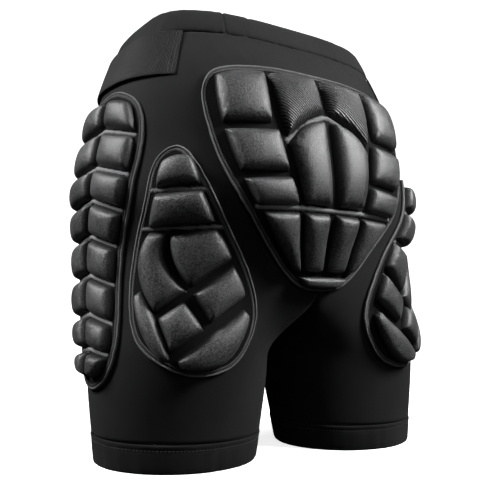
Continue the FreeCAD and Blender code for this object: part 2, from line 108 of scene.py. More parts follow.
def hermite(t, a, b, slope_a, slope_b):
    """Cubic from a to b with a slope, per unit of t, at each end."""
    return ((1 + 2 * t) * (1 - t) ** 2 * a + t * (1 - t) ** 2 * slope_a
            + t * t * (3 - 2 * t) * b + t * t * (t - 1) * slope_b)


def through(table, column, x):
    """Monotone cubic through one column of a table of sections."""
    xs = np.array([row[0] for row in table], float)
    ys = np.array([row[column] for row in table], float)
    x = np.clip(np.asarray(x, float), xs[0], xs[-1])
    steps = np.diff(xs)
    rises = np.diff(ys) / steps
    slopes = np.zeros(len(xs))
    slopes[0], slopes[-1] = rises[0], rises[-1]
    for k in range(1, len(xs) - 1):
        if rises[k - 1] * rises[k] > 0:
            w1 = 2 * steps[k] + steps[k - 1]
            w2 = steps[k] + 2 * steps[k - 1]
            slopes[k] = (w1 + w2) / (w1 / rises[k - 1] + w2 / rises[k])
    i = np.clip(np.searchsorted(xs, x, side="right") - 1, 0, len(steps) - 1)
    h = steps[i]
    return hermite((x - xs[i]) / h, ys[i], ys[i + 1], h * slopes[i], h * slopes[i + 1])


def running_length(line):
    """Length from the start of a line of points to each of them."""
    return np.concatenate([[0.0], np.cumsum(np.linalg.norm(np.diff(line, axis=0), axis=1))])


def ridge(x, centre, width):
    """A bell shape, 1 at its centre."""
    return np.exp(-((x - centre) / width) ** 2)


def form(g, v):
    """Points of the knit's outer surface."""
    g, v = np.broadcast_arrays(np.asarray(g, float), np.asarray(v, float))
    g = np.where(g > 180, g - 360, np.where(g < -180, g + 360, g))
    side = np.where(g < 0, -1.0, 1.0)
    phi = np.radians(90 - np.abs(g))
    cx, cy, rx, ry = [through(LEG, column, v) for column in (1, 2, 3, 4)]
    psi = phi * LEG_TURN / 90
    leg_x, leg_y = cx + rx * np.cos(psi), cy + ry * np.sin(psi)
    half, back, front, square = [through(TORSO, column, v) for column in (1, 2, 3, 4)]
    power = 2 / square
    depth = np.where(phi >= 0, back, -front)
    torso_x = half * np.maximum(np.cos(phi), 0.0) ** power
    torso_y = depth * np.abs(np.sin(phi)) ** power
    low, high = LEG_BLEND
    w = smooth((v - low) / (high - low))
    at_fork = smooth((v - low) / (FORK_V - low))
    w = w + (at_fork - w) * np.abs(np.sin(phi)) ** 8
    x = (1 - w) * leg_x + w * torso_x
    y = (1 - w) * leg_y + w * torso_y
    z = v + TILT * y * smooth((v - TILT_BAND[0]) / (TILT_BAND[1] - TILT_BAND[0]))
    return np.stack([side * x, y + ORIGIN_Y, z], axis=-1)


def crotch_top(m):
    """Height of the crotch seam, m from 0 at the back to 1 at the front."""
    return CROTCH_V + (FORK_V - CROTCH_V) * np.abs(2 * m - 1) ** 3


def inner_form(m, t):
    """The left inner thigh: m runs back to front, t from the floor at 0 to the crotch seam at 1."""
    m, t = np.broadcast_arrays(np.asarray(m, float), np.asarray(t, float))
    top = crotch_top(m)
    v = t * top
    cx, cy, rx, ry = [through(LEG, column, v) for column in (1, 2, 3, 4)]
    turn = math.radians(LEG_TURN)
    psi = turn + (2 * math.pi - 2 * turn) * m
    middle_y = cy + ORIGIN_Y
    arc = np.stack([cx + rx * np.cos(psi), middle_y + ry * np.sin(psi), v], axis=-1)
    edge_back = np.stack([cx + rx * math.cos(turn), middle_y + ry * math.sin(turn), v], axis=-1)
    edge_front = np.stack([edge_back[..., 0], 2 * middle_y - edge_back[..., 1], v], axis=-1)
    back, front = form(np.zeros_like(v), v), form(np.full_like(v, 180.0), v)
    point = arc + (back - edge_back) * (1 - m)[..., None] + (front - edge_front) * m[..., None]
    closing = smooth((v - (top - CLOSING)) / CLOSING)
    edge_x = back[..., 0] * (1 - m) ** 8 + front[..., 0] * m ** 8
    x = np.maximum(point[..., 0] * (1 - closing), 0.0) + closing * edge_x
    return np.stack([x, point[..., 1], point[..., 2]], axis=-1)


def unit(a):
    return a / np.maximum(np.linalg.norm(a, axis=-1, keepdims=True), 1e-12)


def normal(g, v):
    """Outward normal of the form."""
    step = 0.5
    across = form(g + step, v) - form(g - step, v)
    up = form(g, np.minimum(v + step, WAIST_V)) - form(g, np.maximum(v - step, 0.0))
    return unit(np.cross(up, across))


def at(g, v, h):
    """The points h above the form."""
    g, v, h = np.broadcast_arrays(np.asarray(g, float), np.asarray(v, float), np.asarray(h, float))
    return form(g, v) + normal(g, v) * h[..., None]


# ---- Meshes ----

class Cloth:
    """Collects grids of points, in mm, into one mesh with a UV map of the cloth's own size in metres."""

    def __init__(self):
        self.points = []
        self.faces = []
        self.uvs = []
        self.kinds = []
        self.rises = []
        self.count = 0

    def add(self, points, faces, uvs, kind=0, rise=1.0):
        """points (n, 3), faces a list of corner numbers, uvs one (u, v) in mm per face corner.

        rise runs from 0 in a hollow to 1 on top; the materials paint shade and highlight into their colour by
        it, darker in the hollows and lighter on top.
        """
        points = np.asarray(points, float).reshape(-1, 3)
        self.rises.append(np.broadcast_to(np.asarray(rise, float).ravel(), len(points)))
        self.faces += [tuple(int(k) + self.count for k in face) for face in faces]
        self.uvs.append(np.asarray(uvs, float).reshape(-1, 2))
        self.kinds += [kind] * len(faces)
        self.points.append(points)
        self.count += len(points)

    def grid(self, points, uv=None, close_u=False, close_v=False, kind=0, flip=False, rise=1.0):
        """A grid whose first index runs with g and second with v, so that its faces look outwards."""
        n, m = points.shape[:2]
        nu, nv = (n if close_u else n - 1), (m if close_v else m - 1)
        if uv is None:
            uv = cloth_size(points, close_u, close_v)
        i, j = [a.ravel() for a in np.meshgrid(np.arange(nu), np.arange(nv), indexing="ij")]
        corners = [(i, j), (i, j + 1), (i + 1, j + 1), (i + 1, j)]
        if flip:
            corners.reverse()
        faces = np.stack([(a % n) * m + b % m for a, b in corners], axis=1)
        flat = np.stack([uv[a, b] for a, b in corners], axis=1)
        self.add(points, faces, flat, kind, rise)

    def make(self, name, materials, merge=None):
        mesh = bpy.data.meshes.new(name)
        points = np.concatenate(self.points) * MM
        mesh.from_pydata(points.tolist(), [], self.faces)
        layer = mesh.uv_layers.new(name="cloth")
        layer.data.foreach_set("uv", (np.concatenate(self.uvs) * MM).astype(np.float32).ravel())
        mesh.polygons.foreach_set("material_index", np.array(self.kinds, np.int32))
        mesh.polygons.foreach_set("use_smooth", np.ones(len(self.faces), bool))
        rise = mesh.attributes.new("rise", "FLOAT", "POINT")
        rise.data.foreach_set("value", np.concatenate(self.rises).astype(np.float32))
        for material in materials:
            mesh.materials.append(material)
        mesh.update()
        made = bpy.data.objects.new(name, mesh)
        bpy.context.scene.collection.objects.link(made)
        if merge:
            modifier = made.modifiers.new("Weld", "WELD")
            modifier.merge_threshold = merge * MM
            apply_modifiers(made)
        return made


def cloth_size(points, close_u, close_v):
    """Lengths along the cloth from its middle column and first row, in mm, for each grid point."""
    if close_u:
        points = np.concatenate([points, points[:1]])
    if close_v:
        points = np.concatenate([points, points[:, :1]], axis=1)
    along = np.zeros(points.shape[:2])
    along[1:] = np.cumsum(np.linalg.norm(np.diff(points, axis=0), axis=-1), axis=0)
    along -= along[len(along) // 2][None, :]
    up = np.zeros(points.shape[:2])
    up[:, 1:] = np.cumsum(np.linalg.norm(np.diff(points, axis=1), axis=-1), axis=1)
    return np.stack([along, up], axis=-1)


def apply_modifiers(made):
    """Replace the mesh by what its modifiers make of it."""
    depsgraph = bpy.context.evaluated_depsgraph_get()
    mesh = bpy.data.meshes.new_from_object(made.evaluated_get(depsgraph), preserve_all_data_layers=True,
                                           depsgraph=depsgraph)
    old = made.data
    made.modifiers.clear()
    made.data = mesh
    mesh.name = made.name
    bpy.data.meshes.remove(old)
    return made


def thicken(made, thickness):
    """Give a sheet its thickness, inwards."""
    modifier = made.modifiers.new("Solidify", "SOLIDIFY")
    modifier.thickness = thickness * MM
    modifier.offset = -1
    modifier.use_even_offset = False
    return apply_modifiers(made)


def subdivide(made):
    modifier = made.modifiers.new("Subdivision", "SUBSURF")
    modifier.levels = 1
    modifier.render_levels = 1
    return apply_modifiers(made)


def coordinates(made, key="co"):
    """The places of a mesh's points in metres, or their normals."""
    values = np.zeros(len(made.data.vertices) * 3)
    made.data.vertices.foreach_get(key, values)
    return values.reshape(-1, 3)


def set_coordinates(made, co):
    made.data.vertices.foreach_set("co", co.ravel())
    made.data.update()


def mirror_of(made):
    """The right-hand mirror image of a left piece."""
    mesh = made.data.copy()
    mesh.name = made.name.replace("left", "right")
    twin = bpy.data.objects.new(mesh.name, mesh)
    bpy.context.scene.collection.objects.link(twin)
    co = coordinates(twin)
    co[:, 0] *= -1
    set_coordinates(twin, co)
    mesh.flip_normals()
    return twin


def pair(made):
    """A left piece and its mirror image, each after its side."""
    return ("left", made), ("right", mirror_of(made))


def ripple(x, seed, pitch, waves=6):
    """A soft irregular wave along x, between about -1 and 1."""
    rng = np.random.default_rng(seed)
    total = np.zeros_like(np.asarray(x, float))
    for _ in range(waves):
        total += np.sin(2 * np.pi * x / (pitch * rng.uniform(0.6, 1.7)) + rng.uniform(0, 2 * np.pi))
    return total / math.sqrt(waves)


# ---- Materials ----

class Nodes:
    """Short names for building a node tree."""

    def __init__(self, name):
        self.material = bpy.data.materials.new(name)
        self.material.use_nodes = True
        self.tree = self.material.node_tree
        self.shader = self.tree.nodes["Principled BSDF"]

    def feed(self, socket, value):
        """Link a socket to the value, or set it."""
        if isinstance(value, bpy.types.NodeSocket):
            self.tree.links.new(value, socket)
        else:
            socket.default_value = value

    def new(self, kind, **inputs):
        node = self.tree.nodes.new("ShaderNode" + kind)
        for key, value in inputs.items():
            self.feed(node.inputs[key.replace("_", " ")], value)
        return node

    def maths(self, operation, a, b=0.0, c=0.0):
        node = self.new("Math")
        node.operation = operation
        for socket, value in zip(node.inputs, (a, b, c)):
            self.feed(socket, value)
        return node.outputs[0]

    def times(self, a, b):
        return self.maths("MULTIPLY", a, b)

    def cloth(self):
        """The u and v of the cloth, in metres."""
        node = self.tree.nodes.new("ShaderNodeUVMap")
        node.uv_map = "cloth"
        split = self.new("SeparateXYZ", Vector=node.outputs[0])
        return split.outputs[0], split.outputs[1]

    def place(self):
        return self.new("TexCoord").outputs["Object"]

    def rise(self):
        """How far the cloth stands out of its hollows, from 0 to 1, for painting shade and highlight into the
        colour.
        """
        node = self.tree.nodes.new("ShaderNodeAttribute")
        node.attribute_name = "rise"
        return node.outputs["Fac"]

    def noise(self, scale, detail, roughness):
        node = self.new("TexNoise", Vector=self.place(), Scale=scale, Detail=detail, Roughness=roughness)
        return node.outputs["Fac"]

    def ramp(self, value, low, high, out_low=0.0, out_high=1.0):
        node = self.new("MapRange", Value=value, From_Min=low, From_Max=high, To_Min=out_low, To_Max=out_high)
        return node.outputs[0]

    def blend(self, factor, first, second):
        """A mix of two colours."""
        node = self.tree.nodes.new("ShaderNodeMix")
        node.data_type = "RGBA"
        self.feed(node.inputs[0], factor)
        for index, colour in ((6, first), (7, second)):
            self.feed(node.inputs[index], (*colour, 1))
        return node.outputs[2]

    def wave(self, distance, pitch):
        """A sine of the distance, from 0 to 1."""
        turned = self.times(distance, 2 * math.pi / (pitch * MM))
        return self.maths("MULTIPLY_ADD", self.maths("SINE", turned), 0.5, 0.5)

    def bump(self, height, distance, strength=1.0, below=None):
        node = self.new("Bump", Height=height, Strength=strength)
        node.inputs["Distance"].default_value = distance * MM
        if below is not None:
            self.tree.links.new(below, node.inputs["Normal"])
        return node.outputs[0]

    def finish(self, colour, roughness, bump, specular, sheen=0.0, sheen_roughness=0.5):
        values = {"Base Color": colour, "Roughness": roughness, "Normal": bump,
                  "Specular IOR Level": specular, "Sheen Weight": sheen, "Sheen Roughness": sheen_roughness}
        for key, value in values.items():
            self.feed(self.shader.inputs[key], value)
        return self.material


def knit_height(n, wale, course):
    """Columns of small V-shaped loops: wale is their width and course their height, in mm."""
    u, v = n.cloth()
    column = n.maths("FRACT", n.maths("DIVIDE", u, wale * MM))
    slant = n.maths("ABSOLUTE", n.maths("SUBTRACT", column, 0.5))
    lifted = n.maths("MULTIPLY_ADD", slant, course * 1.1 * MM, v)
    rows = n.wave(lifted, course)
    ribs = n.maths("SINE", n.times(slant, 2 * math.pi))
    return n.times(rows, n.maths("MULTIPLY_ADD", ribs, 0.7, 0.3))


def knit_material():
    """Dull jersey of the shell, the waistband and the hems."""
    n = Nodes("jersey_knit")
    loops = knit_height(n, 0.9, 0.7)
    fuzz = n.noise(950, 2, 0.7)
    cloud = n.noise(14, 3, 0.5)
    tone = n.maths("MULTIPLY_ADD", fuzz, 0.55, n.times(cloud, 0.5))
    colour = n.blend(n.ramp(tone, 0.35, 0.75), (0.0032, 0.0033, 0.0036), (0.0145, 0.0147, 0.0154))
    rough = n.ramp(fuzz, 0.3, 0.7, 0.72, 0.9)
    bump = n.bump(loops, 0.16, 0.6, n.bump(fuzz, 0.2, 0.5))
    return n.finish(colour, rough, bump, 0.12, 0.03)


def cover_material(name, ribbed=False):
    """Satin warp knit over the foam blocks, with a fine sparkle. The ribbed kind has diagonal cords."""
    n = Nodes(name)
    grain = n.noise(680, 3, 0.8)
    fine = knit_height(n, 0.8, 1.0)
    cloud = n.noise(30, 3, 0.5)
    tone = n.maths("MULTIPLY_ADD", grain, 0.78, n.times(cloud, 0.22))
    # painted shade: the cover's colour darkens down the block walls towards their foot, by the rise attribute
    shade = n.times(n.ramp(tone, 0.4, 0.6, 0.03, 1.0), n.ramp(n.rise(), 0.35, 0.97, 0.03, 1.0))
    bump = n.bump(fine, 0.12, 0.45, n.bump(grain, 0.38, 0.85))
    if ribbed:
        u, v = n.cloth()
        across = n.maths("MULTIPLY_ADD", u, 0.62, n.times(v, -0.785))
        cords = n.wave(across, 2.0)
        shade = n.times(shade, n.ramp(cords, 0.0, 0.8, 0.4, 1.0))
        bump = n.bump(cords, 0.5, 1.0, bump)
    colour = n.blend(shade, (0.0015, 0.0015, 0.0016), (0.085, 0.0857, 0.0876))
    rough = n.ramp(grain, 0.35, 0.65, 0.3, 0.48)
    return n.finish(colour, rough, bump, 0.4, 0.03, 0.4)


def base_material():
    """The moulded base layer between the blocks, with painted shade near black down in the channels and a
    painted highlight along the raised cords.
    """
    n = Nodes("pad_base")
    grain = n.noise(1050, 2, 0.65)
    # painted shade and highlight: the colour runs from near black in the channels to light on the raised
    # cords, by the rise attribute
    shade = n.times(n.ramp(grain, 0.32, 0.7, 0.45, 1.0), n.ramp(n.rise(), 0.0, 0.7, 0.02, 1.0))
    colour = n.blend(shade, (0.001, 0.001, 0.0011), (0.27, 0.2718, 0.2765))
    bump = n.bump(knit_height(n, 0.8, 1.0), 0.1, 0.5, n.bump(grain, 0.2, 0.6))
    return n.finish(colour, 0.75, bump, 0.06)


def edge_material():
    """Bound edge: close wraps of overlock thread over the bead, with a painted highlight along its top and
    painted shade down its outer foot; plain dark knit inside it.
    """
    n = Nodes("edge_binding")
    u, v = n.cloth()
    slanted = n.maths("MULTIPLY_ADD", v, 0.5, u)
    wraps = n.wave(slanted, 1.3)
    grain = n.noise(1300, 2, 0.6)
    tone = n.maths("MULTIPLY_ADD", wraps, 0.55, n.times(grain, 0.45))
    # painted highlight on the bead's top by the rise attribute; its outer foot stays dark as painted shade
    shade = n.times(n.ramp(tone, 0.2, 0.8, 0.3, 1.0), n.ramp(n.rise(), 0.0, 1.0, 0.2, 1.0))
    colour = n.blend(shade, (0.002, 0.002, 0.0021), (0.175, 0.1763, 0.179))
    bump = n.bump(wraps, 0.35, 0.9, n.bump(grain, 0.15, 0.5))
    return n.finish(colour, 0.5, bump, 0.3, 0.03, 0.4)


def webbing_material():
    """Elastic webbing: cords across the strap with a fine woven face."""
    n = Nodes("elastic_webbing")
    u, v = n.cloth()
    picks = n.times(n.wave(v, 1.0), n.wave(u, 0.85))
    grain = n.noise(1200, 2, 0.6)
    tone = n.maths("MULTIPLY_ADD", picks, 0.5, n.times(grain, 0.5))
    # painted shade: darker down between the ribs and at the sewn end, by the rise attribute
    shade = n.times(n.ramp(tone, 0.15, 0.75, 0.3, 1.0), n.ramp(n.rise(), 0.0, 1.0, 0.35, 1.0))
    colour = n.blend(shade, (0.0022, 0.0022, 0.0024), (0.0105, 0.0106, 0.0111))
    bump = n.bump(picks, 0.25, 0.8, n.bump(grain, 0.1, 0.4))
    return n.finish(colour, 0.62, bump, 0.15, 0.04)


def thread_material():
    """Twisted sewing thread."""
    n = Nodes("sewing_thread")
    u, v = n.cloth()
    ply = n.wave(n.maths("MULTIPLY_ADD", v, 0.8, u), 0.7)
    colour = n.blend(ply, (0.02, 0.02, 0.0207), (0.07, 0.0705, 0.072))
    return n.finish(colour, 0.5, n.bump(ply, 0.1, 0.7), 0.3, 0.05)


def tape_material(name, dark, light, scale):
    """Hook or loop tape: a dense field of small points or loops."""
    n = Nodes(name)
    cells = n.new("TexVoronoi", Vector=n.place(), Scale=scale).outputs["Distance"]
    grain = n.noise(scale * 1.7, 3, 0.7)
    height = n.maths("MULTIPLY_ADD", grain, 0.5, n.maths("SUBTRACT", 0.6, cells))
    colour = n.blend(n.ramp(height, 0.2, 0.8), dark, light)
    return n.finish(colour, 0.7, n.bump(height, 0.6, 0.9), 0.4, 0.3)


knit = knit_material()
cover = cover_material("pad_cover_satin")
cover_ribbed = cover_material("pad_cover_ribbed", ribbed=True)
base_cloth = base_material()
edge_cloth = edge_material()
webbing = webbing_material()
thread = thread_material()
hook_tape = tape_material("hook_tape", (0.01, 0.01, 0.0105), (0.05, 0.05, 0.052), 700)
loop_tape = tape_material("loop_tape", (0.012, 0.012, 0.0125), (0.04, 0.04, 0.041), 420)


# ---- Stitches ----

STITCH_RINGS = ((0.0, 0.25), (0.12, 0.8), (0.5, 1.0), (0.88, 0.8), (1.0, 0.25))
STITCH_SIDES = 6


def stitch(cloth, start, end, out, radius, kind):
    """One thread of a stitch lying on the cloth between two points."""
    along = end - start
    length = np.linalg.norm(along)
    along = along / length
    side = unit(np.cross(along, out))
    out = np.cross(side, along)
    turns = np.arange(STITCH_SIDES) * 2 * math.pi / STITCH_SIDES
    circle = np.cos(turns)[:, None] * side + np.sin(turns)[:, None] * out
    arch = [math.sin(math.pi * t) * radius * 0.8 for t, _ in STITCH_RINGS]
    rings = [start + along * length * t + out * lift + circle * radius * r
             for (t, r), lift in zip(STITCH_RINGS, arch)]
    n = STITCH_SIDES
    faces = [(a * n + k, a * n + (k + 1) % n, (a + 1) * n + (k + 1) % n, (a + 1) * n + k)
             for a in range(len(rings) - 1) for k in range(n)]
    uvs = [(STITCH_RINGS[a][0] * length, b * radius) for a0 in range(len(rings) - 1) for k in range(n)
           for a, b in ((a0, k), (a0, k + 1), (a0 + 1, k + 1), (a0 + 1, k))]
    faces += [tuple(range(n - 1, -1, -1)), tuple((len(rings) - 1) * n + k for k in range(n))]
    uvs += [(0.0, 0.0)] * (2 * n)
    cloth.add(np.concatenate(rings), [np.array(f) for f in faces], uvs, kind)


def stitch_row(cloth, line, outs, pitch, share, radius, closed=True, kind=0):
    """Stitches spaced evenly along a line of points that lies on the cloth."""
    if closed:
        line, outs = np.concatenate([line, line[:1]]), np.concatenate([outs, outs[:1]])
    run = running_length(line)
    count = max(int(run[-1] / pitch), 1)
    pitch = run[-1] / count

    def spot(values, distance):
        return np.array([np.interp(distance, run, values[:, k]) for k in range(3)])

    for k in range(count):
        middle = (k + 0.5) * pitch
        first, last = middle - pitch * share / 2, middle + pitch * share / 2
        stitch(cloth, spot(line, first), spot(line, last), unit(spot(outs, middle)), radius, kind)


# ---- Knit shell ----

def gathers(g, v):
    """Small folds in the knit under the waistband and at the crotch, in mm above the form."""
    under_band = np.exp(-np.clip(WAIST_V - CASING_DEPTH - v, 0, None) / 16)
    folds = 0.34 * under_band * ripple(g * 2.4 * (1 + 0.1 * np.sin(v / 9)), 3, 17)
    slack = 0.22 * ripple(g * 2.4 + v * 0.5, 5, 130, 4) * smooth((v - 30) / 60)
    return folds + slack


def shell():
    """One closed knit surface: both legs, the inner thighs and the torso up to the casing."""
    cloth = Cloth()
    low, high = HEM_V + 0.3, WAIST_V - CASING_DEPTH - 0.3
    legs = np.linspace(low, FORK_V, 36)
    body = np.linspace(FORK_V, high, 70)[1:]
    v = np.concatenate([legs, body])
    g = np.linspace(0, 180, 145)
    gg, vv = np.meshgrid(g, v, indexing="ij")
    outer = form(gg, vv)
    m = np.linspace(0, 1, 33)
    inner_t = np.broadcast_to(legs / FORK_V, (len(m), len(legs)))
    inner = inner_form(np.broadcast_to(m[:, None], inner_t.shape), inner_t)
    inner[:, -1, 0] = 0.0    # both legs meet at the crotch seam
    for side in (1, -1):
        mirror = np.array([side, 1, 1])
        cloth.grid(outer * mirror, cloth_size(outer, False, False), flip=side < 0)
        cloth.grid(inner * mirror, cloth_size(inner, False, False), flip=side > 0)
    made = cloth.make("knit_body", [knit], merge=0.02)
    co = coordinates(made)
    outs = coordinates(made, "normal")
    mm = co / MM
    g_like = np.degrees(np.arctan2(mm[:, 0], mm[:, 1] - ORIGIN_Y))
    lift = gathers(g_like, mm[:, 2] - TILT * mm[:, 1] * smooth((mm[:, 2] - 150) / 270))
    lift *= smooth((mm[:, 2] - 27) / 12)
    set_coordinates(made, co + outs * lift[:, None] * MM)
    thicken(made, KNIT)
    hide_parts("left_leg_panel", "right_leg_panel", "left_inner_thigh", "right_inner_thigh")
    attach(made, "shorts")
    return made


# ---- Hems ----

def leg_loop(v):
    """Points round the left leg at one height, and their level outward directions."""
    outer = form(np.arange(0, 181, 1.5), v)
    m = np.linspace(1, 0, 42)[1:-1]
    inner = inner_form(m, v / crotch_top(m))
    loop = np.concatenate([outer, inner])
    along = np.roll(loop, -1, 0) - np.roll(loop, 1, 0)
    out = unit(np.stack([-along[:, 1], along[:, 0], np.zeros(len(loop))], axis=-1))
    centre = loop.mean(0)
    if (out * (loop - centre)).sum() < 0:
        out = -out
    return loop, out


# distance out of the form and height of the hem's section, from inside round to the top
HEM_SECTION = ((-2.0, 24.6), (-2.1, 18), (-2.1, 9), (-2.05, 2.6), (-1.75, 0.9), (-1.0, 0.1), (-0.3, 0.1),
               (0.25, 0.8), (0.55, 2.4), (0.62, 6), (0.66, 11), (0.62, 15.5), (0.5, 18.2), (0.22, 19.6),
               (0.14, 20.2), (0.24, 20.8), (0.55, 21.8), (0.75, 22.8), (0.8, 23.8), (0.55, 24.8),
               (0.05, 25.3), (-0.8, 25.4))
HEM_STITCH_V = 20.2


def hem():
    """Both hem bands, turned double and held by one row of stitches in a groove."""
    cloth = Cloth()
    rows, outs = zip(*[leg_loop(v) for _, v in HEM_SECTION])
    loop_length = running_length(rows[0])[-1]
    around = np.linspace(0, loop_length, len(rows[0]), endpoint=False)
    wave = 0.16 * ripple(around, 21, 11) + 0.2 * ripple(around, 22, 60, 3)
    columns = []
    for (offset, v), loop, out in zip(HEM_SECTION, rows, outs):
        swing = wave * smooth((offset + 1.2) / 1.2) * smooth((25.5 - v) / 4)
        columns.append(loop + out * (offset + swing)[:, None])
    cloth.grid(np.stack(columns, axis=1), close_u=True, close_v=True)
    made = thicken(cloth.make("left_hem_band", [knit]), FOLD_WALL)
    loop, out = leg_loop(HEM_STITCH_V)
    seam = Cloth()
    stitch_row(seam, loop + out * (0.3 + wave)[:, None], out, 3.4, 0.6, 0.3)
    stitching = seam.make("left_hem_stitches", [thread])
    for (side, band), (_, stitches) in zip(pair(made), pair(stitching)):
        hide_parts(side + "_hem")
        for piece in (band, stitches):
            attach(piece, "shorts")


# ---- Waistband ----

# distance out of the form and height of the casing's section, from inside round to the lower edge
BAND_SECTION = ((-3.4, 394.2), (-4.3, 396), (-4.5, 401), (-4.6, 409), (-4.5, 415), (-4.0, 418.6),
                (-2.6, 420.2), (-0.8, 420.3), (0.7, 419.3), (1.45, 416.5), (1.75, 411.5), (1.8, 406),
                (1.6, 401), (1.15, 397.4), (0.75, 395.6), (0.1, 394.6), (-1.2, 394.2))
JOIN_G = 29.0
JOIN_RIDGES = ((0.0, 0.55, -1.1), (2.0, 1.1, 0.55), (-2.0, 1.1, 0.35))   # place from the join, width and lift
CREASE_G = 17.0
MM_PER_DEGREE = 2.1          # along the waist


def waist_band():
    """The knit casing folded over its elastic, gently gathered, with a butt join at the left back."""
    g = np.arange(-180, 180, 0.8)
    section = np.array(BAND_SECTION)
    gg = np.broadcast_to(g[:, None], (len(g), len(section)))
    vv = np.broadcast_to(section[:, 1], gg.shape)
    arc = gg * MM_PER_DEGREE
    lift = 0.13 * ripple(arc + (vv - 400) * 0.25, 11, 30) + 0.2 * ridge(vv, 397, 5) * ripple(arc, 12, 9)
    for place, width, amount in JOIN_RIDGES:
        lift += amount * ridge(gg, JOIN_G + place, width)
    lift -= 0.75 * ridge(gg + (vv - 405) * 0.16, CREASE_G, 1.1)
    outside = smooth((section[:, 0] + 1.5) / 1.5)
    lean = 0.14 * ripple(arc, 14, 60, 3) * smooth((vv - 396) / 24)
    cloth = Cloth()
    cloth.grid(at(gg, vv + lean, section[:, 0] + outside * lift), close_u=True, close_v=True)
    made = thicken(cloth.make("waist_band", [knit]), FOLD_WALL)
    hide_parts("waist_casing", "waist_elastic")
    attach(made, "shorts")


# ---- Straps ----

def strap_rise(g):
    return smooth((g - STRAP_G[0]) / STRAP_RISE)


def strap_fall(g):
    return smooth((g - STRAP_FALL[0]) / STRAP_FALL[1])


def strap_height(g):
    """Underside of the strap above the form."""
    return (STRAP_SEWN + (STRAP_SIDE - STRAP_SEWN) * strap_rise(g)
            + (STRAP_FRONT - STRAP_SIDE) * strap_fall(g))


def strap_thickness(along):
    """The strap is pressed thinner at its sewn end."""
    return STRAP_THICK * (0.6 + 0.4 * smooth(along / 40))


def strap_places(s, t):
    """Places on the strap: s along it from the sewn end and t across it, both from 0 to 1."""
    low, high = [a + (b - a) * s for a, b in zip(STRAP_V, STRAP_END_V)]
    middle, half = (low + high) / 2, (high - low) / 2
    end_round = 0.7 + 0.3 * np.sqrt(np.clip(1 - (np.clip(s - 0.965, 0, None) / 0.035) ** 2, 0.0, 1))
    return STRAP_G[0] + (STRAP_G[1] - STRAP_G[0]) * s, middle + (2 * t - 1) * half * end_round


def rounded(distance, radius):
    """A quarter round: 0 at an edge and 1 from the radius on."""
    return np.sqrt(np.clip(1 - (1 - np.clip(distance / radius, 0, 1)) ** 2, 0, 1))


STRAP_EDGE = ((0.0, 0.5), (0.006, 0.85), (0.022, 1.0), (0.05, 0.97))   # across the strap, share of thickness
STRAP_MIDDLE = [(a, 0.96) for a in np.linspace(0.09, 0.91, 13)]
STRAP_SEAMS = ((0.014, 2.2), (0.030, 2.2), (0.975, 2.6), (0.93, 2.6))   # share of the length, stitch pitch
STRAP_LENGTH = 300.0
RIB_PITCH = 1.9
RIB_HEIGHT = 0.36


def strap():
    """Elastic webbing with cross ribs, thinner at the sewn end, with a finished free end."""
    section = [*STRAP_EDGE, *STRAP_MIDDLE, *[(1 - a, b) for a, b in reversed(STRAP_EDGE)]]
    across, share = np.array(section).T
    s = np.linspace(0, 1, int(STRAP_LENGTH / RIB_PITCH * 5))
    ss, tt = np.meshgrid(s, across, indexing="ij")
    g, v = strap_places(ss, tt)
    along = ss * STRAP_LENGTH
    left = STRAP_LENGTH - along
    rib = 0.5 + 0.5 * np.sin(2 * math.pi * along / RIB_PITCH)
    ribbed = smooth((along - 2) / 2) * smooth((left - 5) / 2) * smooth(tt / 0.04) * smooth((1 - tt) / 0.04)
    ribs = RIB_HEIGHT * (rib - 0.5) * ribbed
    thick = strap_thickness(along)
    lean = 1.5 * strap_rise(g) * (1 - strap_fall(g))
    middle = strap_height(g) + thick / 2 - lean * (1 - tt)
    half = thick / 2 * share * (0.25 + 0.75 * rounded(along, 1.2) * rounded(left, 1.2))
    sag = 0.3 * ripple(along, 31, 70, 3) * smooth((along - 30) / 40) * smooth((left - 90) / 40)
    top = at(g, v, middle + half + ribs + sag)
    under = at(g, v, middle - half + sag)
    size = cloth_size(top, False, False)
    loop = np.concatenate([top, under[:, ::-1]], axis=1)
    sizes = np.concatenate([size, size[:, ::-1], size[:, :1]], axis=1)
    # rise for the webbing's colour: painted shade between the ribs and over the first 2 mm at the sewn end
    shade = rib * smooth((along - 0.8) / 1.2)
    cloth = Cloth()
    cloth.grid(loop, sizes, close_v=True, rise=np.concatenate([shade, shade], axis=1))
    columns = loop.shape[1]
    for end, order in ((0, 1), (-1, -1)):
        ring = loop[end]
        faces = [np.array([columns, k, (k + 1) % columns][::order]) for k in range(columns)]
        cloth.add(np.concatenate([ring, ring.mean(0)[None]]), faces, np.zeros((3 * columns, 2)))
    for place, pitch in STRAP_SEAMS:
        gs, vs = strap_places(np.full(40, place), np.linspace(0.05, 0.95, 40))
        lift = strap_height(gs) + strap_thickness(place * STRAP_LENGTH) + 0.05
        outs = normal(gs, vs)
        stitch_row(cloth, form(gs, vs) + outs * lift[:, None], outs, pitch, 0.7, 0.26, closed=False, kind=1)
    made = cloth.make("left_strap_webbing", [webbing, thread], merge=0.01)
    for (side, piece), sign in zip(pair(made), (1, -1)):
        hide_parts(side + "_waist_strap")
        start, end = [form(edge, 368.0) * np.array([sign, 1, 1]) * MM for edge in (54.0, 63.0)]
        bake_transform(piece)


TAPE_PER_DEGREE = 2.4        # mm along the front of the waist


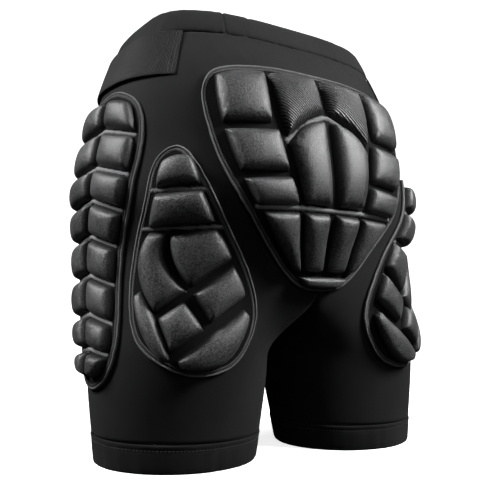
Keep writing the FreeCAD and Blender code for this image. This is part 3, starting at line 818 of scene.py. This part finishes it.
def tab(name, g_range, layer, material, body, replaced):
    """A patch of tape under the strap's free end, with soft edges."""
    s, t = np.meshgrid(np.linspace(0, 1, 60), np.linspace(0, 1, 24), indexing="ij")
    low, high = STRAP_END_V[0] + 3.0, STRAP_END_V[1] - 3.0
    length = (g_range[1] - g_range[0]) * TAPE_PER_DEGREE
    g = g_range[0] + (g_range[1] - g_range[0]) * s
    v = low + (high - low) * t
    edge = np.minimum(np.minimum(s, 1 - s) * length, np.minimum(t, 1 - t) * (high - low))
    thick = (layer[1] - layer[0]) * (0.35 + 0.65 * smooth((edge + 0.2) / 1.4))
    top, under = at(g, v, layer[0] + thick), at(g, v, layer[0])
    cloth = Cloth()
    size = cloth_size(top, False, False)
    cloth.grid(top, size)
    cloth.grid(under, size, flip=True)
    sides = ((np.s_[0, :], False), (np.s_[-1, :], True), (np.s_[:, 0], True), (np.s_[:, -1], False))
    for place, flip in sides:
        cloth.grid(np.stack([under[place], top[place]], axis=1), flip=flip)
    made = cloth.make("left_" + name, [material], merge=0.005)
    for side, piece in pair(made):
        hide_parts(side + "_" + replaced)
        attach(piece, body if body == "shorts" else side + "_strap")


# ---- Pads ----

def closed_curve(points, scale, count):
    """A smooth closed line through the points, evenly divided, in flat mm."""
    p = np.array(points, float) * (scale, 1)
    n = len(p)
    gaps = np.roll(p, -1, 0) - p
    h = np.linalg.norm(gaps, axis=1)
    rise = gaps / h[:, None]
    system = np.zeros((n, n))
    right = np.zeros((n, 2))
    for i in range(n):
        system[i, i - 1] += h[i]
        system[i, i] += 2 * (h[i - 1] + h[i])
        system[i, (i + 1) % n] += h[i - 1]
        right[i] = 3 * (h[i] * rise[i - 1] + h[i - 1] * rise[i])
    slope = np.linalg.solve(system, right)
    t = np.linspace(0, 1, 40, endpoint=False)[:, None]
    after, slope_after = np.roll(p, -1, 0), np.roll(slope, -1, 0)
    runs = [hermite(t, p[i], after[i], slope[i] * h[i], slope_after[i] * h[i]) for i in range(n)]
    line = np.concatenate(runs + [p[:1]])
    run = running_length(line)
    spots = np.linspace(0, run[-1], count, endpoint=False)
    return np.stack([np.interp(spots, run, line[:, k]) for k in (0, 1)], axis=1), run[-1]


def inward(points):
    """Directions into a closed flat outline."""
    along = np.roll(points, -1, 0) - np.roll(points, 1, 0)
    side = unit(np.stack([-along[:, 1], along[:, 0]], axis=-1))
    area = np.cross(points, np.roll(points, -1, 0)).sum()
    return side if area > 0 else -side


def lay(flat, scale, h):
    """Flat places laid on the form at height h."""
    return at(flat[..., 0] / scale, flat[..., 1], h)


def coons(bottom, right, top, left, s, t):
    """A flat patch between four sides. Each side is a function of a share from 0 to 1."""
    s, t = s[..., None], t[..., None]
    corner = (bottom(0 * s) * ((1 - s) * (1 - t)) + bottom(0 * s + 1) * (s * (1 - t))
              + top(0 * s) * ((1 - s) * t) + top(0 * s + 1) * (s * t))
    return bottom(s) * (1 - t) + top(s) * t + left(t) * (1 - s) + right(t) * s - corner


# distance in from the outline and height of the edge's section
EDGE_SECTION = ((0.0, 0.2), (-0.25, 1.2), (-0.05, 2.4), (0.45, 3.2), (1.0, 3.5), (1.6, 3.3), (2.05, 2.75),
                (2.3, 2.55), (2.9, 2.75), (3.5, 3.1), (4.1, 3.15), (4.7, 2.95), (5.3, 2.6), (5.9, 2.2),
                (5.9, 0.6))
EDGE_SEAMS = ((2.35, 2.72), (5.0, 2.95))


def bound_edge(name, outline, scale):
    """Piped edge with a stitching groove inside it and two rows of stitches."""
    count = 260
    outer, length = closed_curve(outline, scale, count)
    side = inward(outer)
    run = np.linspace(0, length, count, endpoint=False)
    wobble = 0.12 * ripple(run, len(name), 14)
    rows = []
    for step, h in EDGE_SECTION:
        raised = 1.0 if h > 1 else 0.0
        rows.append(lay(outer + side * (step + wobble * raised)[:, None], scale, h + wobble * 0.5 * raised))
    points = np.stack(rows, axis=1)
    profile = running_length(np.array(EDGE_SECTION))
    profile = np.append(profile, profile[-1] + 6)
    uv = np.stack(np.meshgrid(np.append(run, length), profile, indexing="ij"), axis=-1)
    # bead marks the top of the raised rim for a painted highlight, fading out down its outer wall below 1.6
    # mm as painted shade
    bead = np.array([smooth((1.9 - step) / 0.6) * smooth((h - 1.6) / 1.0) for step, h in EDGE_SECTION])
    anticlockwise = np.cross(outer, np.roll(outer, -1, 0)).sum() > 0
    cloth = Cloth()
    cloth.grid(points, uv, close_u=True, close_v=True, flip=not anticlockwise,
               rise=np.broadcast_to(bead, points.shape[:2]))
    for step, h in EDGE_SEAMS:
        line = outer + side * step
        outs = normal(line[:, 0] / scale, line[:, 1])
        stitch_row(cloth, lay(line, scale, h), outs, 2.6, 0.72, 0.2, kind=1)
    return cloth.make(name, [edge_cloth, thread])


def base_sheet(name, outline, scale, corners, cords, density):
    """The base layer inside the bound edge, with raised cords in its channels."""
    count = 480
    outer, length = closed_curve(outline, scale, count)
    edge = outer + inward(outer) * (EDGE_WIDTH - 0.3)

    def chain(a, b, t):
        """Points of the edge between two shares of its length."""
        k = (a + ((b - a + 0.5) % 1.0 - 0.5) * t) * count
        i = np.floor(k).astype(int)
        first, second = edge[i[..., 0] % count], edge[(i[..., 0] + 1) % count]
        return first + (second - first) * (k - i)

    c0, c1, c2, c3 = corners
    n, m = density
    s, t = np.meshgrid(np.linspace(0, 1, n), np.linspace(0, 1, m), indexing="ij")
    flat = coons(lambda q: chain(c0, c1, q), lambda q: chain(c1, c2, q),
                 lambda q: chain(c2, c3, 1 - q), lambda q: chain(c3, c0, 1 - q), s, t)
    rise = np.zeros(s.shape)
    for line, radius, lift in cords:
        round_top = np.sqrt(np.clip(1 - (distance_to(flat, line) / radius) ** 2, 0, 1))
        rise = np.maximum(rise, lift * round_top)
    cloth = Cloth()
    # the cords' rise also paints the base's colour: shade in the channels, a highlight on the cords
    cloth.grid(lay(flat, scale, BASE_TOP + rise), flat, rise=np.clip(rise, 0, 1))
    made = cloth.make(name, [base_cloth])
    return thicken(made, BASE_THICK)


def distance_to(points, line):
    """Distance from flat points to a line of flat points."""
    line = np.array(line, float)
    best = np.full(points.shape[:-1], 1e9)
    for a, b in zip(line, line[1:]):
        d = b - a
        t = np.clip(((points - a) @ d) / (d @ d), 0, 1)
        best = np.minimum(best, np.linalg.norm(points - a - t[..., None] * d, axis=-1))
    return best


# a block's wall: distance in from its outline in mm, and share of the shoulder's height there
BLOCK_WALL = ((0.0, 0.0), (0.65, 0.3), (1.4, 0.57), (2.2, 0.78), (3.1, 0.9), (4.2, 0.965), (5.6, 0.99),
              (7.2, 1.0))


BLOCK_SPACING = 2.3


def block_rows(size):
    """Number of steps in a block's grid between its two walls."""
    free = max(size - 2 * BLOCK_WALL[-1][0], 1.0)
    return max(int(round(free / BLOCK_SPACING)), 2)


class Block:
    """One moulded block: four flat corners and the bulge of each side, as in the CAD."""

    def __init__(self, corners, bulges, scale, crown=BLOCK_CROWN):
        self.scale = scale
        self.crown = crown
        self.corners = np.array(corners, float) * (scale, 1)
        self.bulges = bulges
        self.middle = self.corners.mean(0)

    def side(self, a, b, bulge):
        start, end = self.corners[a], self.corners[b]
        along = end - start
        out = np.array([along[1], -along[0]]) / np.linalg.norm(along)
        if out @ ((start + end) / 2 - self.middle) < 0:
            out = -out
        return lambda t: start + along * t + out * (bulge * 4 * t * (1 - t))

    def flat_point(self, s, t):
        b = self.bulges
        return coons(self.side(0, 1, b[0]), self.side(1, 2, b[1]),
                     self.side(3, 2, b[2]), self.side(0, 3, b[3]), s, t)

    def mirrored(self):
        """The same block on the other side of the centre line."""
        corners = [(-self.corners[k][0] / self.scale, self.corners[k][1]) for k in (1, 0, 3, 2)]
        b = self.bulges
        return Block(corners, (b[0], b[3], b[2], b[1]), self.scale, self.crown)

    def steps(self, count, width):
        """Shares across the block for its grid lines, where width is the block's width there."""
        inset = np.array([min(d / width, 0.33 * d / BLOCK_WALL[-1][0]) for d, _ in BLOCK_WALL])
        inner = np.linspace(inset[-1], 1 - inset[-1], count + 1)[1:-1]
        return np.concatenate([inset, inner, 1 - inset[::-1]])

    def grid(self):
        """Flat places, wall shares and swell of the block's grid."""
        def width(a, b):
            first, second = [self.flat_point(*np.array(place, float)[:, None])[0] for place in (a, b)]
            return np.linalg.norm(first - second)

        across = max(width((0.0, 0.5), (1.0, 0.5)), 4.0)
        tall = max(width((0.5, 0.0), (0.5, 1.0)), 4.0)
        nu, nv = block_rows(across), block_rows(tall)
        q = np.linspace(0, 1, 41)
        lines_s = np.array([self.steps(nu, max(width((0.0, k), (1.0, k)), 0.5)) for k in q])
        lines_t = np.array([self.steps(nv, max(width((k, 0.0), (k, 1.0)), 0.5)) for k in q])
        s0, t0 = self.steps(nu, across), self.steps(nv, tall)
        s = np.stack([np.interp(t0, q, lines_s[:, i]) for i in range(len(s0))], axis=0)
        t = np.stack([np.interp(s0, q, lines_t[:, j]) for j in range(len(t0))], axis=1)
        flat = self.flat_point(s, t)
        walls = [b for _, b in BLOCK_WALL]
        rise_s = np.array(walls + [1.0] * (nu - 1) + walls[::-1])
        rise_t = np.array(walls + [1.0] * (nv - 1) + walls[::-1])
        share = rise_s[:, None] * rise_t[None, :]
        swell = np.clip(16 * s * (1 - s) * t * (1 - t), 0, 1) ** 0.6
        return flat, share, swell


def block_cloth(cloth, block, kind):
    """Adds one block's cover. Returns its lowest ring and all its point numbers."""
    flat, share, swell = block.grid()
    h = BLOCK_FOOT + (BLOCK_SHOULDER - BLOCK_FOOT) * share + (block.crown - BLOCK_SHOULDER) * swell * share
    first = cloth.count
    # the wall share, as rise, also paints shade into the cover's colour towards the block's foot
    cloth.grid(lay(flat, block.scale, h), flat, kind=kind, rise=share)
    n, m = share.shape
    number = first + np.arange(n * m).reshape(n, m)
    return np.concatenate([number[0], number[-1], number[1:-1, 0], number[1:-1, -1]])


SIM_SCALE = 10.0
SIM_FRAMES = 20
PRESSURE = 6.0
SWELL_CAP = 1.5
CLOTH_SETTINGS = {"quality": 6, "mass": 0.3, "tension_stiffness": 12, "compression_stiffness": 12,
                  "shear_stiffness": 6, "bending_stiffness": 0.6, "vertex_group_mass": "foot",
                  "use_pressure": True, "uniform_pressure_force": PRESSURE}


def inflate(made, foot):
    """Let the covers swell under pressure as cloth held at the foot of each block, and keep that shape."""
    scene = bpy.context.scene
    rest = coordinates(made)
    set_coordinates(made, rest * SIM_SCALE)
    group = made.vertex_groups.new(name="foot")
    group.add([int(k) for k in foot], 1.0, "REPLACE")
    modifier = made.modifiers.new("Cloth", "CLOTH")
    for key, value in CLOTH_SETTINGS.items():
        setattr(modifier.settings, key, value)
    modifier.settings.effector_weights.gravity = 0
    modifier.collision_settings.use_collision = False
    modifier.point_cache.frame_start = 1
    modifier.point_cache.frame_end = SIM_FRAMES
    for number in range(1, SIM_FRAMES + 1):
        scene.frame_set(number)
    swollen = coordinates(made.evaluated_get(bpy.context.evaluated_depsgraph_get())) / SIM_SCALE
    made.modifiers.clear()
    made.vertex_groups.clear()
    scene.frame_set(1)
    move = swollen - rest
    length = np.linalg.norm(move, axis=1, keepdims=True)
    reach = SWELL_CAP * MM
    move *= np.where(length > 0, reach * np.tanh(length / reach) / np.maximum(length, 1e-9), 0)
    set_coordinates(made, rest + move)
    print(made.name, "swelled by at most", round(float(length.max()) / MM, 2), "mm")


def pad_blocks(name, blocks, ribbed=()):
    """The covers of all of a pad's blocks. ribbed holds the numbers of those with a ribbed face."""
    cloth = Cloth()
    foot = np.concatenate([block_cloth(cloth, block, int(k in ribbed)) for k, block in enumerate(blocks)])
    made = cloth.make(name, [cover, cover_ribbed] if ribbed else [cover])
    inflate(made, foot)
    return subdivide(made)


def pad_pieces(prefix, base, edge, blocks, size):
    """Hides the CAD parts of one pad and hangs its three pieces on the shorts. size, the base's flat width,
    length and area, is not used.
    """
    foams = [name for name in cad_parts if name.startswith(prefix + "_foam")]
    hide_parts(prefix + "_backing")
    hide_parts(prefix + "_binding")
    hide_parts(prefix + "_cover", *foams)
    for piece, name in ((base, "backing"), (edge, "binding"), (blocks, "pad_cover")):
        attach(piece, "shorts")


def pad_pair(pad, pieces, size):
    """Hangs the pieces of a left pad on the shorts in place of its CAD parts, and adds the right one."""
    pad_pieces("left_" + pad, *pieces, size)
    pad_pieces("right_" + pad, *[mirror_of(piece) for piece in pieces], size)


# Tailbone pad
TAILBONE_SCALE = 3.3
TAILBONE_HALF = ((12, 359.3), (24, 357.3), (33.5, 353.5), (39.5, 345), (41.6, 331), (40.6, 306), (36, 272),
                 (28, 237), (20, 205), (12.5, 177), (7.5, 165))
TAILBONE_TOP = (0, 359.5)
TAILBONE_TIP = (0, 160.5)
TAILBONE_BLOCKS = ((((0.5, 318), (13.2, 291), (16.4, 351), (0.5, 352.5)), (-3, 2.5, 0.5, 0)),
                   (((17.7, 302), (34.6, 299.5), (36.8, 344), (18.0, 351)), (0, 2, 2, 0)),
                   (((12.9, 261), (28.2, 258), (34.0, 294), (16.0, 297.5)), (0, 1, 0, 0)),
                   (((9.9, 234.5), (22.8, 231.5), (27.2, 253), (12.5, 257.5)), (0, 1, 0, 0)),
                   (((0.5, 235.5), (8.8, 235.5), (12.7, 286), (0.5, 311.5)), (0, 1, 6, 0)),
                   (((0.4, 177.5), (6.6, 177.5), (8.4, 229.5), (0.5, 230)), (0, 1, 0, 0)),
                   (((7.7, 177.5), (9.9, 178.5), (21.6, 228.5), (9.6, 229.5)), (0, 1, 0, 0)))
TAILBONE_LOWEST = (((-6.0, 165.5), (6.0, 165.5), (8.6, 174.0), (-8.6, 174.0)), (2.0, 0, 0, 0))
LOWEST_CROWN = 11.0


def tailbone():
    """The tailbone pad: its two halves mirror each other, with one more block at the tip."""
    outline = [TAILBONE_TOP, *TAILBONE_HALF, TAILBONE_TIP] + [(-g, v) for g, v in reversed(TAILBONE_HALF)]
    half = [Block(corners, bulges, TAILBONE_SCALE) for corners, bulges in TAILBONE_BLOCKS]
    k = TAILBONE_SCALE
    blocks = half + [block.mirrored() for block in half] + [Block(*TAILBONE_LOWEST, k, LOWEST_CROWN)]
    arc = [(0.5 * k, 315), (5 * k, 308), (9.5 * k, 297), (13.4 * k, 288)]
    cords = [([(-23 * k, 231.2), (-9 * k, 232.3), (9 * k, 232.3), (23 * k, 231.2)], 2.0, 1.9),
             (arc, 1.8, 1.6), ([(-x, y) for x, y in arc], 1.8, 1.6)]
    base = base_sheet("tailbone_base", outline, k, (0.61, 0.39, 0.13, 0.87), cords, (200, 180))
    edge = bound_edge("tailbone_edge", outline, k)
    made = pad_blocks("tailbone_blocks", blocks, ribbed=(0, len(half)))
    pad_pieces("tailbone", base, edge, made, (0.265, 0.19, 0.0375))


# Thigh pads
THIGH_SCALE = 2.5
THIGH_OUTLINE = ((50, 279), (56.5, 270), (59.4, 247), (61, 222), (64.6, 182), (67.7, 142), (65.5, 112),
                 (57, 95), (45, 84.5), (33, 86), (23.5, 99), (19.8, 122), (21, 155), (26, 190), (35.5, 236),
                 (42.5, 265))
THIGH_BLOCKS = ((((40.7, 246.0), (56.0, 241.8), (54.6, 263.5), (44.2, 268.5)), (0, 1, 4, 1.5)),
                (((34.8, 216), (57.8, 209.5), (56.4, 238), (40.0, 242)), (0, 0.5, 0, 0)),
                (((45.4, 155), (57.8, 134.5), (57.4, 206), (50.6, 207)), (0, 12, 0, -9)),
                (((29.3, 186), (44.2, 158.5), (49.8, 205), (34.8, 212)), (0, 6, 0, 1.5)),
                (((24.8, 153.5), (38.4, 128), (43.8, 153), (29.2, 181)), (0, 0, 0, 1.5)),
                (((40.3, 122.5), (52.5, 102), (57.2, 131), (47.2, 147)), (0, 0, 0, 0)),
                (((51.9, 97.8), (54.4, 95.0), (64.4, 151), (61.8, 155)), (0, 10, 0, 0)),
                (((23.6, 138), (48.6, 91.0), (50.0, 96.8), (25.8, 142.5)), (22, 0, 0, 0)))


def thigh():
    """Both thigh pads."""
    blocks = [Block(corners, bulges, THIGH_SCALE) for corners, bulges in THIGH_BLOCKS]
    k = THIGH_SCALE
    cords = [([(36 * k, 242.5), (58 * k, 240.5)], 1.4, 0.7), ([(31 * k, 213.5), (60 * k, 208.5)], 1.4, 0.7)]
    base = base_sheet("left_thigh_base", THIGH_OUTLINE, k, (0.58, 0.37, 0.05, 0.96), cords, (150, 120))
    edge = bound_edge("left_thigh_edge", THIGH_OUTLINE, k)
    made = pad_blocks("left_thigh_blocks", blocks)
    pad_pair("thigh", (base, edge, made), (0.195, 0.115, 0.0165))


# Hip pads
HIP_SCALE = 2.6
HIP_REAR = ((76, 332.5), (67.5, 319), (64.2, 296), (64.8, 250), (68, 197), (71.5, 143), (74.5, 97),
            (79.5, 76))
HIP_TOP_V = 337.0
HIP_BOTTOM_V = 66.5
HIP_ROWS = ((290.5, 9), (255, 9), (224.5, 10), (193, 9), (158.5, 7.5), (124.5, 6.5), (98, 3))
HIP_BLOCKS_TOP = (320.0, 7.0)
HIP_BLOCKS_BOTTOM = (79.5, -3.0)
HIP_BORDER = 8.5
CHANNEL = 2.0


def hip_centre(v):
    """Girth angle of the line between the two columns."""
    return 85 + 4 * smooth((235 - v) / 135)


def hip_rear_edge(v):
    """Girth angle of the rear column's outer side."""
    table = tuple((height, g) for g, height in reversed(HIP_REAR))
    return through(table, 1, v) + HIP_BORDER / HIP_SCALE


def hip_blocks(side):
    """Eight blocks of one column: side is -1 for the rear column and 1 for the front."""
    levels = (HIP_BLOCKS_TOP,) + HIP_ROWS + (HIP_BLOCKS_BOTTOM,)
    blocks = []
    for k, (top, low) in enumerate(zip(levels, levels[1:])):
        top_edge, low_edge = top[0] - (CHANNEL if k > 0 else 0), low[0] + (CHANNEL if k < 7 else 0)

        def corner(edge, rise, at_centre):
            if at_centre:
                return (float(hip_centre(edge + rise)) + side * CHANNEL / HIP_SCALE, edge + rise)
            g = float(hip_rear_edge(edge))
            return (g if side < 0 else 2 * float(hip_centre(edge)) - g, edge)

        first, second = (False, True) if side < 0 else (True, False)
        corners = (corner(low_edge, low[1], first), corner(low_edge, low[1], second),
                   corner(top_edge, top[1], second), corner(top_edge, top[1], first))
        bulges = [0, 1.5, 0, 0] if side > 0 else [0, 0, 0, 1.5]
        bulges[2] = 2 if k == 0 else 0
        blocks.append(Block(corners, bulges, HIP_SCALE))
    return blocks


def hip():
    """Both hip pads: two columns of blocks that meet in raised arrows."""
    rear = list(HIP_REAR)
    front = [(2 * float(hip_centre(v)) - g, v) for g, v in reversed(rear)]
    outline = [(float(hip_centre(HIP_TOP_V)), HIP_TOP_V)] + rear
    outline += [(float(hip_centre(HIP_BOTTOM_V)), HIP_BOTTOM_V)] + front
    k = HIP_SCALE
    cords = []
    for edge, rise in HIP_ROWS:
        centre = float(hip_centre(edge + rise)) * k
        for far in (float(hip_rear_edge(edge)) * k, 2 * centre - float(hip_rear_edge(edge)) * k):
            cords.append(([(far, edge), (centre, edge + rise)], 1.5, 1.2))
    base = base_sheet("left_hip_base", outline, k, (0.45, 0.55, 0.94, 0.06), cords, (90, 230))
    edge = bound_edge("left_hip_edge", outline, k)
    made = pad_blocks("left_hip_blocks", hip_blocks(-1) + hip_blocks(1))
    pad_pair("hip", (base, edge, made), (0.27, 0.11, 0.0235))


# ---- Stage, lights and camera ----

FLOOR_RADIUS = 1.4
WALL_HEIGHT = 2.6
WALL_BEND = 1.2              # radius of the bend from floor to wall
WORLD_STRENGTH = 0.018


def turned(profile):
    """Points of a surface of revolution about Z, in mm, from (radius, height) pairs in metres."""
    turns = np.linspace(0, 2 * math.pi, 96, endpoint=False)
    r, z = np.array(profile).T
    return np.stack([np.outer(np.cos(turns), r), np.outer(np.sin(turns), r),
                     np.broadcast_to(z, (len(turns), len(z)))], axis=-1) / MM


def paper(name, glow):
    """Pale paper that gives off some light of its own."""
    n = Nodes(name)
    mottle = n.noise(3.0, 2, 0.5)
    colour = n.blend(mottle, (0.86, 0.86, 0.855), (0.9, 0.9, 0.9))
    made = n.finish(colour, 0.85, n.bump(mottle, 0.2, 0.1), 0.1)
    n.shader.inputs["Emission Color"].default_value = (1, 1, 1, 1)
    n.shader.inputs["Emission Strength"].default_value = glow
    return made


def stage():
    """A pale lit floor with a lit backdrop round it. Neither throws light on the object."""
    floor, wall = Cloth(), Cloth()
    floor.grid(turned([(r, 0.0) for r in (0.0, 0.4, 0.9, FLOOR_RADIUS)]), close_u=True, flip=True)
    bend = [(FLOOR_RADIUS + WALL_BEND * math.sin(a), WALL_BEND - WALL_BEND * math.cos(a))
            for a in np.linspace(0, math.pi / 2, 12)]
    wall.grid(turned(bend + [(bend[-1][0], WALL_HEIGHT)]), close_u=True, flip=True)
    floor = floor.make("studio_floor", [paper("studio_paper", 0.8)], merge=0.01)
    wall = wall.make("studio_wall", [paper("studio_backdrop", 1.0)])
    for piece in (floor, wall):
        piece.visible_diffuse = False
        piece.visible_glossy = False
    wall.visible_shadow = False
    world = bpy.data.worlds.new("studio")
    world.use_nodes = True
    world.node_tree.nodes["Background"].inputs["Color"].default_value = (0.97, 0.985, 1.0, 1)
    world.node_tree.nodes["Background"].inputs["Strength"].default_value = WORLD_STRENGTH
    bpy.context.scene.world = world


CAMERA_AZIMUTH = 35.2        # degrees from +Y towards +X
CAMERA_DISTANCE = 0.815
CAMERA_HEIGHT = 0.172
CAMERA_FOCAL = 755 / 500     # in widths of the frame
CAMERA_TURNS = (-0.35, 1.97, -2.36)   # yaw, pitch and roll
SENSOR = 36.0


# name, degrees from +Y towards +X, distance and height in m, size in m, power in W
LIGHTS = (("key_right", -48, 1.2, 1.15, (0.36, 0.45), 42),
          ("side_left", 108, 1.2, 1.1, (0.32, 0.6), 38),
          ("fill", 2, 1.6, 0.9, (1.2, 1.0), 4),
          ("top", 40, 0.6, 1.9, (0.8, 0.8), 3))
LIGHT_AIM = (0, 0, 0.22)


def softbox(name, azimuth, distance, height, size, power):
    """A rectangular area light that looks at the object's middle."""
    data = bpy.data.lights.new(name, "AREA")
    data.shape = "RECTANGLE"
    data.size, data.size_y = size
    data.energy = power
    lamp = bpy.data.objects.new(name, data)
    bpy.context.scene.collection.objects.link(lamp)
    lamp.visible_camera = False
    a = math.radians(azimuth)
    lamp.location = (distance * math.sin(a), distance * math.cos(a), height)
    lamp.rotation_euler = (Vector(LIGHT_AIM) - lamp.location).to_track_quat("-Z", "Y").to_euler()


def camera():
    """The camera stands at an azimuth and looks level at the axis, then turns by yaw, pitch and roll."""
    a = math.radians(CAMERA_AZIMUTH)
    forward = Vector((-math.sin(a), -math.cos(a), 0))
    up = Vector((0, 0, 1))
    axes = Matrix((forward.cross(up), up, -forward)).transposed()
    for angle, column, sign in zip(CAMERA_TURNS, (1, 0, 2), (1, 1, -1)):
        axes = Matrix.Rotation(math.radians(angle), 3, sign * axes.col[column]) @ axes
    data = bpy.data.cameras.new("camera")
    data.sensor_width = SENSOR
    data.lens = CAMERA_FOCAL * SENSOR
    made = bpy.data.objects.new("camera", data)
    bpy.context.scene.collection.objects.link(made)
    place = Vector((CAMERA_DISTANCE * math.sin(a), CAMERA_DISTANCE * math.cos(a) + ORIGIN_Y * MM,
                    CAMERA_HEIGHT))
    made.matrix_world = Matrix.Translation(place) @ axes.to_4x4()
    bpy.context.scene.camera = made


bpy.context.scene.view_settings.view_transform = "Standard"
stage()
camera()
for light in LIGHTS:
    softbox(*light)
waist_band()
shell()
hem()
strap()
tab("hook_face", HOOK_G, HOOK, hook_tape, "strap", "hook_tab")
tab("loop_face", LOOP_G, LOOP, loop_tape, "shorts", "loop_patch")
tailbone()
thigh()
hip()
